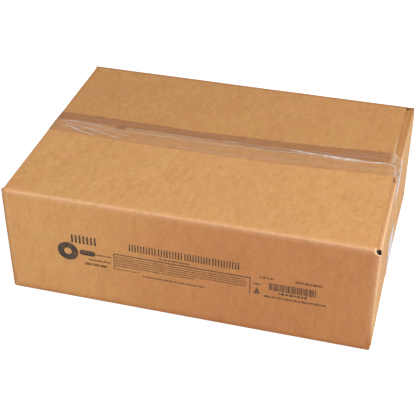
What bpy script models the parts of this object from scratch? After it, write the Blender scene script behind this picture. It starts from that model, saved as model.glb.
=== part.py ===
"""A shut shipping carton of corrugated board, sealed with clear tape along its top and bottom seams.

The carton is one folded blank. Its two major flaps meet along the middle of the top, over two minor
flaps whose folds show as a low step at each end, and the bottom is closed in the same way. It lies on
its bottom flaps, centred on the origin, with a long wall facing -Y.
"""

import math

import bmesh
import bpy
import numpy as np
from mathutils import Matrix, Vector

# Carton, outside sizes in metres
LENGTH = 0.438
WIDTH = 0.311
HEIGHT = 0.1448
BOARD = 0.004
FOLD_RADIUS = 0.003

# How far the middle of a wall stands out, or in on the end walls, which the tape pulls on
END_BULGE = -0.0018
SIDE_BULGE = 0.0014

# The top flaps spring up to their seam, most where a minor flap lies under them
MINOR_FLAP = 0.1555
MIDDLE_RISE = 0.0005
LEFT_RISE = 0.0005
RIGHT_RISE = 0.0045

# Where the flaps meet, and where they stop short of each other and of the end walls
TOP_SEAM_Y = 0.0060
BOTTOM_SEAM_Y = 0.0
SEAM_GAP = 0.0030
SEAM_DEPTH = 0.0044
BACK_FLAP_SHORT = 0.0105
FRONT_FLAP_SHORT = 0.0058
OTHER_FLAPS_SHORT = 0.0036

# The slot between two flaps leaves a hole at each corner, and the front right one is torn wider
TORN_HOLE_RADIUS = 0.0030
CORNER_HOLE_RADIUS = 0.0016
CORNER_HOLE_DEPTH = 0.0060

# Tape
TAPE_THICKNESS = 0.0004
TAPE_GAP = 0.0003
TAPE_RECESS = 0.0008
RECESS_MARGIN = 0.0030
TOP_TAIL = 0.0315
BOTTOM_TAIL = 0.0475

# Each tape wanders, and wrinkles gather the top one: middle line in y and width, at the left end, in the
# middle and at the right end
TOP_TAPE_Y = (0.0028, 0.0012, 0.0076)
TOP_TAPE_WIDTHS = (0.0458, 0.0478, 0.0508)
BOTTOM_TAPE_Y = (-0.0015, 0.0012, 0.0040)
BOTTOM_TAPE_WIDTHS = (0.0508, 0.0508, 0.0508)

# How finely the panels and the tape are divided
LENGTH_PARTS = 15
WIDTH_PARTS = 10
WALL_PARTS = 6
FOLD_SEGMENTS = 4
TAPE_ROWS = 8
TAIL_STATIONS = 6
RUN_STATIONS = 14
HOLE_SIDES = 12

# How far a cutter runs past what it cuts, and stands off a face that it would otherwise lie in
OVERSHOOT = 0.010
STAND_OFF = 0.00020

# Points nearer than this are one, and an edge sharper than this is a fold
WELD_DISTANCE = 0.00001
FOLD_ANGLE = math.radians(60)

KRAFT_BROWN = (0.58, 0.31, 0.13)
FILM_BROWN = (0.62, 0.42, 0.24)

FOLD_LINE = BOARD + FOLD_RADIUS
MIDDLE = HEIGHT / 2


def clear_scene():
    """Removes everything that the file opened with."""
    for old in list(bpy.data.objects):
        bpy.data.objects.remove(old, do_unlink=True)


def new_collection(name, hidden=False):
    """A collection in the scene, left out of renders if it only holds cutters."""
    made = bpy.data.collections.new(name)
    made.hide_render = hidden
    bpy.context.scene.collection.children.link(made)
    return made


def plain_material(name, colour, roughness, alpha=1.0):
    """A Principled material with one colour."""
    made = bpy.data.materials.new(name)
    made.use_nodes = True
    shader = made.node_tree.nodes["Principled BSDF"]
    shader.inputs["Base Color"].default_value = (*colour, 1.0)
    shader.inputs["Roughness"].default_value = roughness
    shader.inputs["Metallic"].default_value = 0.0
    shader.inputs["Alpha"].default_value = alpha
    return made


def object_from(bm, name, collection, material=None):
    """Puts a bmesh into the scene as an object, and frees it."""
    mesh = bpy.data.meshes.new(name)
    bm.to_mesh(mesh)
    bm.free()
    if material:
        mesh.materials.append(material)
    made = bpy.data.objects.new(name, mesh)
    collection.objects.link(made)
    return made


def as_cutter(cutter):
    """Marks an object as a helper that only a Boolean uses."""
    cutter.hide_render = True
    cutter.display_type = "WIRE"
    return cutter


def bulge(across, along):
    """Share of a panel's full bulge, at a place given from -1 to 1 both ways between its folds."""
    return max(0.0, 1 - across**2) * max(0.0, 1 - along**2)


def up_the_wall(z):
    """Height as -1 at a wall's lower fold and 1 at its upper one."""
    return (z - MIDDLE) / (MIDDLE - FOLD_LINE)


def end_wall_x(y, z):
    """Distance of an end wall's outer face from the middle of the carton."""
    return LENGTH / 2 + END_BULGE * bulge(2 * y / WIDTH, up_the_wall(z))


def ridge(x):
    """Height of the top seam over the flaps' folds."""
    end_rise = RIGHT_RISE if x > 0 else LEFT_RISE
    free_middle = LENGTH / 2 - MINOR_FLAP
    return np.interp(abs(x), (free_middle, LENGTH / 2), (MIDDLE_RISE, end_rise))


def seam_rise(x, y):
    """Height of the top flaps over their folds, falling evenly from the seam."""
    fold_y = math.copysign(WIDTH / 2, y - TOP_SEAM_Y)
    return ridge(x) * max(0.0, (fold_y - y) / (fold_y - TOP_SEAM_Y))


def slice_along(bm, axis, places):
    """Cuts loops into a mesh across one axis."""
    normal = Vector((0, 0, 0))
    normal[axis] = 1
    for place in places:
        everything = [*bm.verts, *bm.edges, *bm.faces]
        bmesh.ops.bisect_plane(bm, geom=everything, plane_co=normal * place, plane_no=normal)


def carton_body(collection, material):
    """The folded carton as a box whose panels bulge between rounded folds."""
    bm = bmesh.new()
    to_size = Matrix.Translation((0, 0, MIDDLE)) @ Matrix.Diagonal((LENGTH, WIDTH, HEIGHT, 1))
    bmesh.ops.create_cube(bm, size=1.0, matrix=to_size)
    slice_along(bm, 0, np.linspace(-LENGTH / 2, LENGTH / 2, LENGTH_PARTS + 1)[1:-1])
    slice_along(bm, 1, [*np.linspace(-WIDTH / 2, WIDTH / 2, WIDTH_PARTS + 1)[1:-1], TOP_SEAM_Y])
    slice_along(bm, 2, np.linspace(FOLD_LINE, HEIGHT - FOLD_LINE, WALL_PARTS + 1))
    for vert in bm.verts:
        x, y, z = vert.co
        up = up_the_wall(z)
        vert.co.x += math.copysign(1, x) * END_BULGE * bulge(2 * y / WIDTH, up)
        vert.co.y += math.copysign(1, y) * SIDE_BULGE * bulge(2 * x / LENGTH, up)
        if z > HEIGHT - FOLD_RADIUS:
            vert.co.z += seam_rise(x, y)
    carton = object_from(bm, "carton", collection, material)
    carton.data.shade_smooth()
    carton.data.set_sharp_from_angle(angle=FOLD_ANGLE)
    folds = carton.modifiers.new("rounded_folds", "BEVEL")
    folds.width = FOLD_RADIUS
    folds.segments = FOLD_SEGMENTS
    folds.limit_method = "ANGLE"
    folds.angle_limit = FOLD_ANGLE
    return carton


def slab_along_y(name, outline, low_y, high_y, collection):
    """A closed slab whose outline lies in XZ, between two values of y."""
    curve = bpy.data.curves.new(name, "CURVE")
    curve.dimensions = "2D"
    curve.fill_mode = "BOTH"
    curve.extrude = (high_y - low_y) / 2
    spline = curve.splines.new("POLY")
    spline.points.add(len(outline) - 1)
    spline.use_cyclic_u = True
    for point, (x, z) in zip(spline.points, outline):
        point.co = (x, z, 0, 1)
    flat = bpy.data.objects.new(name, curve)
    collection.objects.link(flat)
    bpy.context.view_layer.update()
    evaluated = flat.evaluated_get(bpy.context.evaluated_depsgraph_get())
    bm = bmesh.new()
    bm.from_mesh(bpy.data.meshes.new_from_object(evaluated))
    bpy.data.objects.remove(flat)
    upright = Matrix.Translation((0, (low_y + high_y) / 2, 0)) @ Matrix.Rotation(math.pi / 2, 4, "X")
    bmesh.ops.transform(bm, matrix=upright, verts=bm.verts)
    bmesh.ops.remove_doubles(bm, verts=bm.verts, dist=WELD_DISTANCE)
    bmesh.ops.recalc_face_normals(bm, faces=bm.faces)
    return as_cutter(object_from(bm, name, collection))


def box_cutter(name, low, high, collection):
    """A box between two corners."""
    low, high = Vector(low), Vector(high)
    bm = bmesh.new()
    to_size = Matrix.Translation((low + high) / 2) @ Matrix.Diagonal((*(high - low), 1))
    bmesh.ops.create_cube(bm, size=1.0, matrix=to_size)
    return as_cutter(object_from(bm, name, collection))


def flap_end_outline(end, level, short):
    """Outline in XZ of what is missing past the major flaps' ends, down to the minor flap's rounded fold.

    end is 1 or -1 along x, and level is 1 for the top and -1 for the bottom.
    """
    centre_x = LENGTH / 2 - FOLD_RADIUS + STAND_OFF
    centre_z = MIDDLE - FOLD_LINE + STAND_OFF
    turns = np.linspace(math.pi / 2, 0, FOLD_SEGMENTS + 1)
    fold = [(centre_x + FOLD_RADIUS * math.cos(t), centre_z + FOLD_RADIUS * math.sin(t)) for t in turns]
    flap_end = LENGTH / 2 - short
    outside = LENGTH / 2 + OVERSHOOT
    outline = [
        (flap_end, MIDDLE + OVERSHOOT),
        (flap_end, centre_z + FOLD_RADIUS),
        *fold,
        (outside, centre_z),
        (outside, MIDDLE + OVERSHOOT),
    ]
    return [(end * x, MIDDLE + level * z) for x, z in outline]


def cut_flap_ends(collection):
    """Steps at both ends, top and bottom, and a deeper one where the back top flap stops shorter."""
    outside = WIDTH / 2 + OVERSHOOT
    for end in (-1, 1):
        for level in (-1, 1):
            short = FRONT_FLAP_SHORT if (end, level) == (1, 1) else OTHER_FLAPS_SHORT
            outline = flap_end_outline(end, level, short)
            slab_along_y(f"flap_ends_{end}_{level}", outline, -outside, outside, collection)
    low = (LENGTH / 2 - BACK_FLAP_SHORT, TOP_SEAM_Y, HEIGHT - BOARD + 2 * STAND_OFF)
    high = (LENGTH / 2 + OVERSHOOT / 2, outside - STAND_OFF, HEIGHT + OVERSHOOT / 2)
    box_cutter("back_flap_end", low, high, collection)


def cut_seams(collection):
    """The gap between the major flaps, top and bottom, and the bottom tape's shallow recess."""
    reach = LENGTH / 2 + OVERSHOOT
    near, far = TOP_SEAM_Y - SEAM_GAP / 2, TOP_SEAM_Y + SEAM_GAP / 2
    box_cutter("seam_top", (-reach, near, HEIGHT - SEAM_DEPTH), (reach, far, HEIGHT + OVERSHOOT), collection)
    near, far = BOTTOM_SEAM_Y - SEAM_GAP / 2, BOTTOM_SEAM_Y + SEAM_GAP / 2
    box_cutter("seam_bottom", (-reach, near, -OVERSHOOT), (reach, far, SEAM_DEPTH), collection)
    near = min(BOTTOM_TAPE_Y) - max(BOTTOM_TAPE_WIDTHS) / 2 - RECESS_MARGIN
    far = max(BOTTOM_TAPE_Y) + max(BOTTOM_TAPE_WIDTHS) / 2 + RECESS_MARGIN
    box_cutter("tape_recess", (-reach, near, -OVERSHOOT), (reach, far, TAPE_RECESS), collection)


def cut_corner_holes(collection):
    """A hole through each corner, where the slot between two flaps ends."""
    for end in (-1, 1):
        for side in (-1, 1):
            for level in (-1, 1):
                torn = (end, side, level) == (1, -1, 1)
                radius = TORN_HOLE_RADIUS if torn else CORNER_HOLE_RADIUS
                corner = Vector((end * LENGTH / 2, side * WIDTH / 2, MIDDLE + level * (MIDDLE - BOARD)))
                outward = Vector((end, side, 0)).normalized()
                turn = outward.to_track_quat("Z", "Y").to_matrix().to_4x4()
                bm = bmesh.new()
                bmesh.ops.create_cone(
                    bm, cap_ends=True, segments=HOLE_SIDES, radius1=radius, radius2=radius,
                    depth=2 * CORNER_HOLE_DEPTH, matrix=Matrix.Translation(corner) @ turn,
                )
                as_cutter(object_from(bm, f"corner_hole_{end}_{side}_{level}", collection))


def along_carton(x, values):
    """Value at x from three that hold at the left end, in the middle and at the right end."""
    return np.interp(x, (-LENGTH / 2, 0, LENGTH / 2), values)


def tape_end_route(end, y, short, tail, face):
    """The tape's way at one end, as (x, height over the middle), for the strip of tape at y.

    It starts at the end of the tail on the end wall, goes up over the minor flap's fold, and leaves it
    straight for the end of the major flaps, which it reaches at the last point. face gives the height
    of a major flap's outer face over the middle, at x and y.
    """
    centre = Vector((LENGTH / 2 - FOLD_RADIUS, MIDDLE - FOLD_LINE))
    reach = FOLD_RADIUS + TAPE_GAP
    flap_end = LENGTH / 2 - short
    flap_corner = Vector((flap_end + TAPE_GAP, face(end * flap_end, y) + TAPE_GAP))
    to_corner = flap_corner - centre
    leaves = math.atan2(to_corner.y, to_corner.x) - math.acos(reach / to_corner.length)
    route = []
    for height in np.linspace(centre.y - tail, centre.y, TAIL_STATIONS)[:-1]:
        route.append((end_wall_x(y, MIDDLE + height) + TAPE_GAP, height))
    for turn in np.linspace(0, leaves, FOLD_SEGMENTS + 1):
        route.append((centre.x + reach * math.cos(turn), centre.y + reach * math.sin(turn)))
    route.append(tuple(flap_corner))
    return [(end * x, height) for x, height in route]


def tape_route(y, shorts, tail, face):
    """The whole way of the strip of tape at y, from the left tail's end to the right tail's."""
    left = tape_end_route(-1, y, shorts[0], tail, face)
    right = tape_end_route(1, y, shorts[1], tail, face)[::-1]
    run = np.linspace(left[-1][0], right[0][0], RUN_STATIONS)[1:-1]
    return [*left, *((x, face(x, y) + TAPE_GAP) for x in run), *right]


def tape(name, level, shorts, tail, course, face, collection, material):
    """A band of tape round the carton's middle: a thin strip on the flaps with a tail on each end wall.

    level is 1 for the top tape and -1 for the bottom one. course gives the middle line's three values of
    y and the tape's three widths.
    """
    middle_line, widths = course
    bm = bmesh.new()
    last = len(tape_route(0, shorts, tail, face)) - 1
    bmesh.ops.create_grid(bm, x_segments=last, y_segments=TAPE_ROWS, size=0.5)
    for vert in bm.verts:
        station = round((vert.co.x + 0.5) * last)
        x_at_middle = tape_route(0, shorts, tail, face)[station][0]
        y = along_carton(x_at_middle, middle_line) + vert.co.y * along_carton(x_at_middle, widths)
        x, height = tape_route(y, shorts, tail, face)[station]
        vert.co = (x, y, MIDDLE + level * height)
    if level < 0:
        bmesh.ops.reverse_faces(bm, faces=bm.faces)
    band = object_from(bm, name, collection, material)
    band.data.shade_smooth()
    film = band.modifiers.new("film", "SOLIDIFY")
    film.thickness = TAPE_THICKNESS
    film.offset = 1
    film.use_even_offset = True
    return band


def top_face(x, y):
    """Height of the top flaps' outer face over the carton's middle."""
    return MIDDLE + seam_rise(x, y)


def recessed_face(_x, _y):
    """Depth of the bottom flaps' outer face under the carton's middle, in the tape's recess."""
    return MIDDLE - TAPE_RECESS


def main():
    """Builds the carton and its two tapes."""
    clear_scene()
    parts = new_collection("doughnut_carton")
    cutters = new_collection("cutters", hidden=True)
    kraft = plain_material("kraft_board", KRAFT_BROWN, roughness=0.85)
    clear_film = plain_material("clear_tape", FILM_BROWN, roughness=0.18, alpha=0.45)

    carton = carton_body(parts, kraft)
    cut_flap_ends(cutters)
    cut_seams(cutters)
    cut_corner_holes(cutters)
    cuts = carton.modifiers.new("flap_cuts", "BOOLEAN")
    cuts.operation = "DIFFERENCE"
    cuts.operand_type = "COLLECTION"
    cuts.collection = cutters
    cuts.solver = "EXACT"

    shorts = (OTHER_FLAPS_SHORT, FRONT_FLAP_SHORT)
    course = (TOP_TAPE_Y, TOP_TAPE_WIDTHS)
    tape("tape_top", 1, shorts, TOP_TAIL, course, top_face, parts, clear_film)
    shorts = (OTHER_FLAPS_SHORT, OTHER_FLAPS_SHORT)
    course = (BOTTOM_TAPE_Y, BOTTOM_TAPE_WIDTHS)
    tape("tape_bottom", -1, shorts, BOTTOM_TAIL, course, recessed_face, parts, clear_film)


main()
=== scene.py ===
"""Looks of a shut shipping carton of doughnuts: folded board, clear tape, print and a white studio.

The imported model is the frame. One folded blank of corrugated board stands for its plain carton, two
wrinkled films stand for its plain tapes, and plain shapes of print lie on the long front wall.
"""

import logging
import math
from collections.abc import Callable, Sequence
from dataclasses import dataclass, field
from enum import Enum

import bmesh
import bpy
import numpy as np
from mathutils import Matrix, Vector, noise


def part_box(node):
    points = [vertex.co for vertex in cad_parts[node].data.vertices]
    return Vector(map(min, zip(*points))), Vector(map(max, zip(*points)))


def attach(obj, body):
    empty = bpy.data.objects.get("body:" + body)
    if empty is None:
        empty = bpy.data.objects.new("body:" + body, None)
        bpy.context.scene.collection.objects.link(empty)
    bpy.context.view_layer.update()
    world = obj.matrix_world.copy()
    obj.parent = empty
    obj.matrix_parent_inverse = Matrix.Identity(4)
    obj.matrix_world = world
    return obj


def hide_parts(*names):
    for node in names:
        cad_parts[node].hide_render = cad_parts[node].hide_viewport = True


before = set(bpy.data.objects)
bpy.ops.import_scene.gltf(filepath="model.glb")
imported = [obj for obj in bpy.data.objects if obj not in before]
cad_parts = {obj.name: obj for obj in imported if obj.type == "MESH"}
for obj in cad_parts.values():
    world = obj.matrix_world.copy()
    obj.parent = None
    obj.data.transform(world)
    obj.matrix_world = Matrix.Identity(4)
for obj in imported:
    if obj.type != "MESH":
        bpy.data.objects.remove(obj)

LOG = logging.getLogger("doughnut_carton")
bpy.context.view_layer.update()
MM = 0.001
WELD_KEYS_PER_METRE = 1e6
SMOOTH_ANGLE = math.radians(38)

Colour = tuple[float, float, float]
Point = tuple[float, float, float]
Place = tuple[float, float]
Span = tuple[float, float]
Socket = bpy.types.NodeSocket


class Level(Enum):
    """Top or bottom of the carton, as a direction along Z."""

    BOTTOM = -1
    TOP = 1


class Side(Enum):
    """Front or back long wall, as a direction along Y."""

    FRONT = -1
    BACK = 1


class End(Enum):
    """Left or right end wall, as a direction along X."""

    LEFT = -1
    RIGHT = 1


def screen_colour(red: int, green: int, blue: int) -> Colour:
    """Turns a colour as a screen shows it into the linear values that shaders use.

    Args:
        red: Red from 0 to 255.
        green: Green from 0 to 255.
        blue: Blue from 0 to 255.

    Returns:
        The linear colour, each value from 0 to 1.
    """
    shares = [value / 255 for value in (red, green, blue)]
    return tuple(s / 12.92 if s <= 0.04045 else ((s + 0.055) / 1.055) ** 2.4 for s in shares)


def stations(stops: Sequence[float], step: float) -> np.ndarray:
    """Places along a line that pass through every stop and are nowhere further apart than step.

    Args:
        stops: Places that have to be there, in rising or falling order.
        step: The widest space between two neighbours.

    Returns:
        All places in the stops' order.
    """
    parts = []
    for near, far in zip(stops[:-1], stops[1:]):
        count = max(1, math.ceil(abs(far - near) / step - 1e-6))
        parts.append(np.linspace(near, far, count + 1)[:-1])
    return np.append(np.concatenate(parts), stops[-1])


def unevenness(places: np.ndarray, grain: Sequence[float]) -> np.ndarray:
    """Smooth noise at many places.

    Args:
        places: Points as rows of three values.
        grain: Size of the noise's features along each axis.

    Returns:
        One value from about -1 to 1 for each point.
    """
    scaled = places / np.array(grain)
    return np.array([noise.noise(Vector(point)) for point in scaled])


def distance_to_way(places: np.ndarray, way: Sequence[Place]) -> np.ndarray:
    """How far points in a plane lie from a line through a few points.

    Args:
        places: Points as rows of two values.
        way: The line's points in order.

    Returns:
        The distance of each point from the nearest stretch of the line.
    """
    nearest = np.full(len(places), np.inf)
    for start, end in zip(np.array(way[:-1]), np.array(way[1:])):
        along = end - start
        share = np.clip((places - start) @ along / (along @ along), 0, 1)
        nearest = np.minimum(nearest, np.linalg.norm(places - start - share[:, None] * along, axis=1))
    return nearest


def ease(value: np.ndarray, low: float, high: float) -> np.ndarray:
    """Rises smoothly from 0 at low to 1 at high, or falls where low is the larger."""
    share = np.clip((value - low) / (high - low), 0, 1)
    return share * share * (3 - 2 * share)


def new_object(name: str, mesh: bpy.types.Mesh, materials: Sequence[bpy.types.Material]) -> bpy.types.Object:
    """Puts a mesh into the scene with its materials and smooth shading between its folds.

    Args:
        name: The piece's name.
        mesh: Its mesh.
        materials: Its materials, in the order of the faces' material numbers.

    Returns:
        The object in the scene.
    """
    for material in materials:
        mesh.materials.append(material)
    mesh.shade_smooth()
    mesh.set_sharp_from_angle(angle=SMOOTH_ANGLE)
    made = bpy.data.objects.new(name, mesh)
    bpy.context.scene.collection.objects.link(made)
    return made


def hand_over(piece: bpy.types.Object, replaced: Sequence[str] = ()) -> None:
    """Declares a finished piece to the frame.

    Args:
        piece: The piece.
        replaced: The CAD nodes that it stands for.
    """
    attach(piece, "root")
    if replaced:
        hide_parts(*replaced)
    LOG.info("%s: %d points, %d faces", piece.name, len(piece.data.vertices), len(piece.data.polygons))


@dataclass(frozen=True)
class CartonForm:
    """Sizes of the folded carton in metres, and how its filled panels bulge, rise and wave.

    Length and width are between the folds of the walls, height is over the major flaps' folds. The shorts
    are how far major flaps stop from an end wall: the two on top at the right end, and all others.
    """

    length: float
    width: float
    height: float = 0.1448
    board: float = 0.004
    fold: float = 0.003
    tuck: float = 0.0002
    end_hollow: float = 0.0021
    fold_share: float = 0.55
    side_bulge: float = 0.0014
    minor_flap: float = 0.1555
    front_short: float = 0.0058
    back_short: float = 0.0105
    other_short: float = 0.0036
    middle_rise: float = 0.0005
    left_rise: float = 0.0005
    right_rise: float = 0.0045
    seam_y: float = 0.0060
    tape_hollow: float = 0.0004
    tape_hollow_reach: float = 0.036
    far_corner_x: Span = (0.2086, 0.2106)
    pushed_up: float = 0.0026
    pushed_up_y: Span = (0.1180, 0.1500)
    crushed: float = 0.0038
    crushed_y: Span = (0.1516, 0.1526)
    wave_depth: float = 0.00028
    wave_grain: float = 0.047

    @classmethod
    def from_frame(cls) -> "CartonForm":
        """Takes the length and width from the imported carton, whose box includes the long walls' bulge."""
        low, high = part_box("carton")
        return cls(high.x - low.x, high.y - low.y - 2 * cls.side_bulge)

    @property
    def middle(self) -> float:
        """Height of the carton's middle."""
        return self.height / 2

    @property
    def minor_top(self) -> float:
        """Height over the middle of the minor flaps' outer face."""
        return self.middle - self.board - self.tuck

    def up_the_wall(self, z: np.ndarray) -> np.ndarray:
        """Height as -1 at a wall's lower fold and 1 at its upper one."""
        return (z - self.middle) / (self.middle - self.board - self.fold)

    def end_sink(self, y: np.ndarray, z: np.ndarray) -> np.ndarray:
        """How far the tape has drawn an end wall in, which its upper and lower folds follow in part.

        Args:
            y: Places across the carton.
            z: Heights.

        Returns:
            The depths.
        """
        up = np.clip(self.up_the_wall(z), -1, 1)
        across = 2 * y / self.width
        return self.end_hollow * np.maximum(0, 1 - across**2) * (1 - (1 - self.fold_share) * up**2)

    def side_swell(self, x: np.ndarray, z: np.ndarray) -> np.ndarray:
        """How far a long wall stands out over its folds."""
        along = 2 * x / self.length
        return self.side_bulge * np.maximum(0, 1 - along**2) * np.maximum(0, 1 - self.up_the_wall(z) ** 2)

    def ridge(self, x: np.ndarray) -> np.ndarray:
        """Height of the top seam over the folds.

        Args:
            x: Places along the carton.

        Returns:
            The heights.
        """
        end_rise = np.where(x > 0, self.right_rise, self.left_rise)
        free_middle = self.length / 2 - self.minor_flap
        share = np.clip((np.abs(x) - free_middle) / self.minor_flap, 0, 1)
        return self.middle_rise + (end_rise - self.middle_rise) * share

    def seam_rise(self, x: np.ndarray, y: np.ndarray) -> np.ndarray:
        """Height of the top flaps over their folds, falling evenly from the seam."""
        fold_y = np.where(y > self.seam_y, self.width / 2, -self.width / 2)
        return self.ridge(x) * np.maximum(0, (fold_y - y) / (fold_y - self.seam_y))

    def displaced(self, places: np.ndarray, outward: np.ndarray) -> np.ndarray:
        """Moves points of the plainly folded carton to where the filled and handled one has them.

        Args:
            places: Points on the outer face, as rows.
            outward: The outer face's direction at each point.

        Returns:
            The moved points.
        """
        x, y, z = places.T
        moved = places.copy()
        moved[:, 0] -= outward[:, 0] * self.end_sink(y, z)
        moved[:, 1] += outward[:, 1] * self.side_swell(x, z)
        on_top = z > self.height - self.fold
        moved[on_top, 2] += self.seam_rise(x, y)[on_top]
        minor_top = self.middle + self.minor_top
        at_end = ease(x, *self.far_corner_x)
        pushed_up = self.pushed_up * at_end * ease(y, *self.pushed_up_y)
        moved[:, 2] += pushed_up * ease(z, minor_top - self.fold, minor_top)
        crushed = self.crushed * at_end * ease(y, *self.crushed_y)
        moved[:, 2] -= crushed * ease(z, minor_top, self.height)
        under = z < self.fold
        hollow = self.tape_hollow * ease(np.abs(y), self.tape_hollow_reach, self.tape_hollow_reach / 2)
        moved[under, 2] += hollow[under]
        wave = self.wave_depth * unevenness(places, [self.wave_grain] * 3) * ease(z, 0, self.fold)
        return moved + outward * wave[:, None]


class ShaderTree:
    """Adds nodes to one material's or group's tree and joins them.

    Args:
        tree: The tree to add to.
    """

    def __init__(self, tree: bpy.types.NodeTree) -> None:
        """Starts at the tree's first node."""
        self.tree = tree
        self.count = 0

    def node(self, kind: str, **settings: object) -> bpy.types.Node:
        """Adds a node.

        Args:
            kind: Blender's name for the node's type.
            settings: The node's own settings.

        Returns:
            The node.
        """
        made = self.tree.nodes.new(kind)
        made.location = (200 * (self.count % 8), -260 * (self.count // 8))
        self.count += 1
        for name, value in settings.items():
            setattr(made, name, value)
        return made

    def feed(self, socket: Socket, value: object) -> None:
        """Joins an output to a socket, or sets the socket to a plain value.

        Args:
            socket: The socket.
            value: The output, the number, or the colour or vector as a tuple.
        """
        if isinstance(value, bpy.types.NodeSocket):
            self.tree.links.new(value, socket)
        elif isinstance(value, tuple) and socket.type == "RGBA":
            socket.default_value = (*value, 1.0)
        else:
            socket.default_value = value

    def math(self, operation: str, *values: object, clamp: bool = False) -> Socket:
        """A Math node's result.

        Args:
            operation: The node's operation.
            values: What goes into its sockets, in order.
            clamp: Whether the result is kept between 0 and 1.

        Returns:
            The result's socket.
        """
        made = self.node("ShaderNodeMath", operation=operation, use_clamp=clamp)
        for socket, value in zip(made.inputs, values):
            self.feed(socket, value)
        return made.outputs[0]

    def noise(self, vector: Socket, scale: object, detail: float = 2.0, rough: float = 0.5) -> Socket:
        """A Noise Texture's value, from 0 to 1 round one half.

        Args:
            vector: Where it is read.
            scale: Features for each metre.
            detail: How many finer layers it has.
            rough: How strong the finer layers are.

        Returns:
            The value's socket.
        """
        made = self.node("ShaderNodeTexNoise")
        self.feed(made.inputs["Vector"], vector)
        self.feed(made.inputs["Scale"], scale)
        self.feed(made.inputs["Detail"], detail)
        self.feed(made.inputs["Roughness"], rough)
        return made.outputs["Fac"]

    def spread(
        self, value: Socket, low: float, high: float, to_low: object = 0.0, to_high: object = 1.0
    ) -> Socket:
        """Maps a value smoothly from one range to another.

        Args:
            value: The value.
            low: Where it gives to_low.
            high: Where it gives to_high.
            to_low: The result at the low end.
            to_high: The result at the high end.

        Returns:
            The mapped value's socket.
        """
        made = self.node("ShaderNodeMapRange", interpolation_type="SMOOTHSTEP")
        entries = {"Value": value, "From Min": low, "From Max": high, "To Min": to_low, "To Max": to_high}
        for name, entry in entries.items():
            self.feed(made.inputs[name], entry)
        return made.outputs["Result"]

    def mix(self, share: object, first: object, second: object, blend: str = "MIX") -> Socket:
        """Mixes two colours.

        Args:
            share: How much of the second there is.
            first: The first colour.
            second: The second colour.
            blend: How they are blended.

        Returns:
            The mixed colour's socket.
        """
        made = self.node("ShaderNodeMix", data_type="RGBA", blend_type=blend)
        self.feed(made.inputs[0], share)
        self.feed(made.inputs[6], first)
        self.feed(made.inputs[7], second)
        return made.outputs[2]

    def scaled(self, vector: Socket, factors: Point) -> Socket:
        """A vector times a factor along each axis.

        Args:
            vector: The vector.
            factors: The factors.

        Returns:
            The scaled vector's socket.
        """
        made = self.node("ShaderNodeVectorMath", operation="MULTIPLY")
        self.feed(made.inputs[0], vector)
        self.feed(made.inputs[1], factors)
        return made.outputs[0]

    def axes(self, vector: Socket) -> tuple[Socket, Socket, Socket]:
        """A vector's three parts.

        Args:
            vector: The vector.

        Returns:
            The sockets of its x, y and z.
        """
        made = self.node("ShaderNodeSeparateXYZ")
        self.feed(made.inputs[0], vector)
        return made.outputs[0], made.outputs[1], made.outputs[2]

    def place(self) -> Socket:
        """Where a point of the surface is, in metres."""
        return self.node("ShaderNodeTexCoord").outputs["Object"]

    def painted(self, name: str) -> Socket:
        """A mask that the mesh carries."""
        made = self.node("ShaderNodeAttribute", attribute_type="GEOMETRY", attribute_name=name)
        return made.outputs["Fac"]

    def use(self, group: bpy.types.NodeTree, **inputs: object) -> bpy.types.Node:
        """Places a group in this tree.

        Args:
            group: The group.
            inputs: What goes into its inputs, with _ for a space in a name.

        Returns:
            The group's node.
        """
        made = self.node("ShaderNodeGroup", node_tree=group)
        for name, value in inputs.items():
            self.feed(made.inputs[name.replace("_", " ")], value)
        return made

    def apart(self, vector: Socket, centre: Point) -> Socket:
        """How far a place lies from a centre.

        Args:
            vector: The place.
            centre: The centre.

        Returns:
            The distance's socket.
        """
        made = self.node("ShaderNodeVectorMath", operation="DISTANCE")
        self.feed(made.inputs[0], vector)
        self.feed(made.inputs[1], centre)
        return made.outputs["Value"]

    def bump(self, height: Socket, distance: float) -> Socket:
        """A normal tilted by a height.

        Args:
            height: The height.
            distance: How high 1 stands in metres.

        Returns:
            The normal's socket.
        """
        made = self.node("ShaderNodeBump")
        self.feed(made.inputs["Height"], height)
        self.feed(made.inputs["Distance"], distance)
        return made.outputs["Normal"]


class GroupTree(ShaderTree):
    """A shader node group under construction.

    Args:
        name: The group's name.
        inputs: Each input's name and default, as a number or as a tuple for a vector.
        outputs: The outputs' names. All of them are numbers.
    """

    def __init__(self, name: str, inputs: dict[str, object], outputs: Sequence[str]) -> None:
        """Makes the group with its inputs and outputs."""
        super().__init__(bpy.data.node_groups.new(name, "ShaderNodeTree"))
        for label, default in inputs.items():
            kind = "NodeSocketVector" if isinstance(default, tuple) else "NodeSocketFloat"
            made = self.tree.interface.new_socket(name=label, in_out="INPUT", socket_type=kind)
            made.default_value = default
        for label in outputs:
            self.tree.interface.new_socket(name=label, in_out="OUTPUT", socket_type="NodeSocketFloat")
        self.inputs = self.node("NodeGroupInput").outputs
        self.outputs = self.node("NodeGroupOutput").inputs


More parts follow.
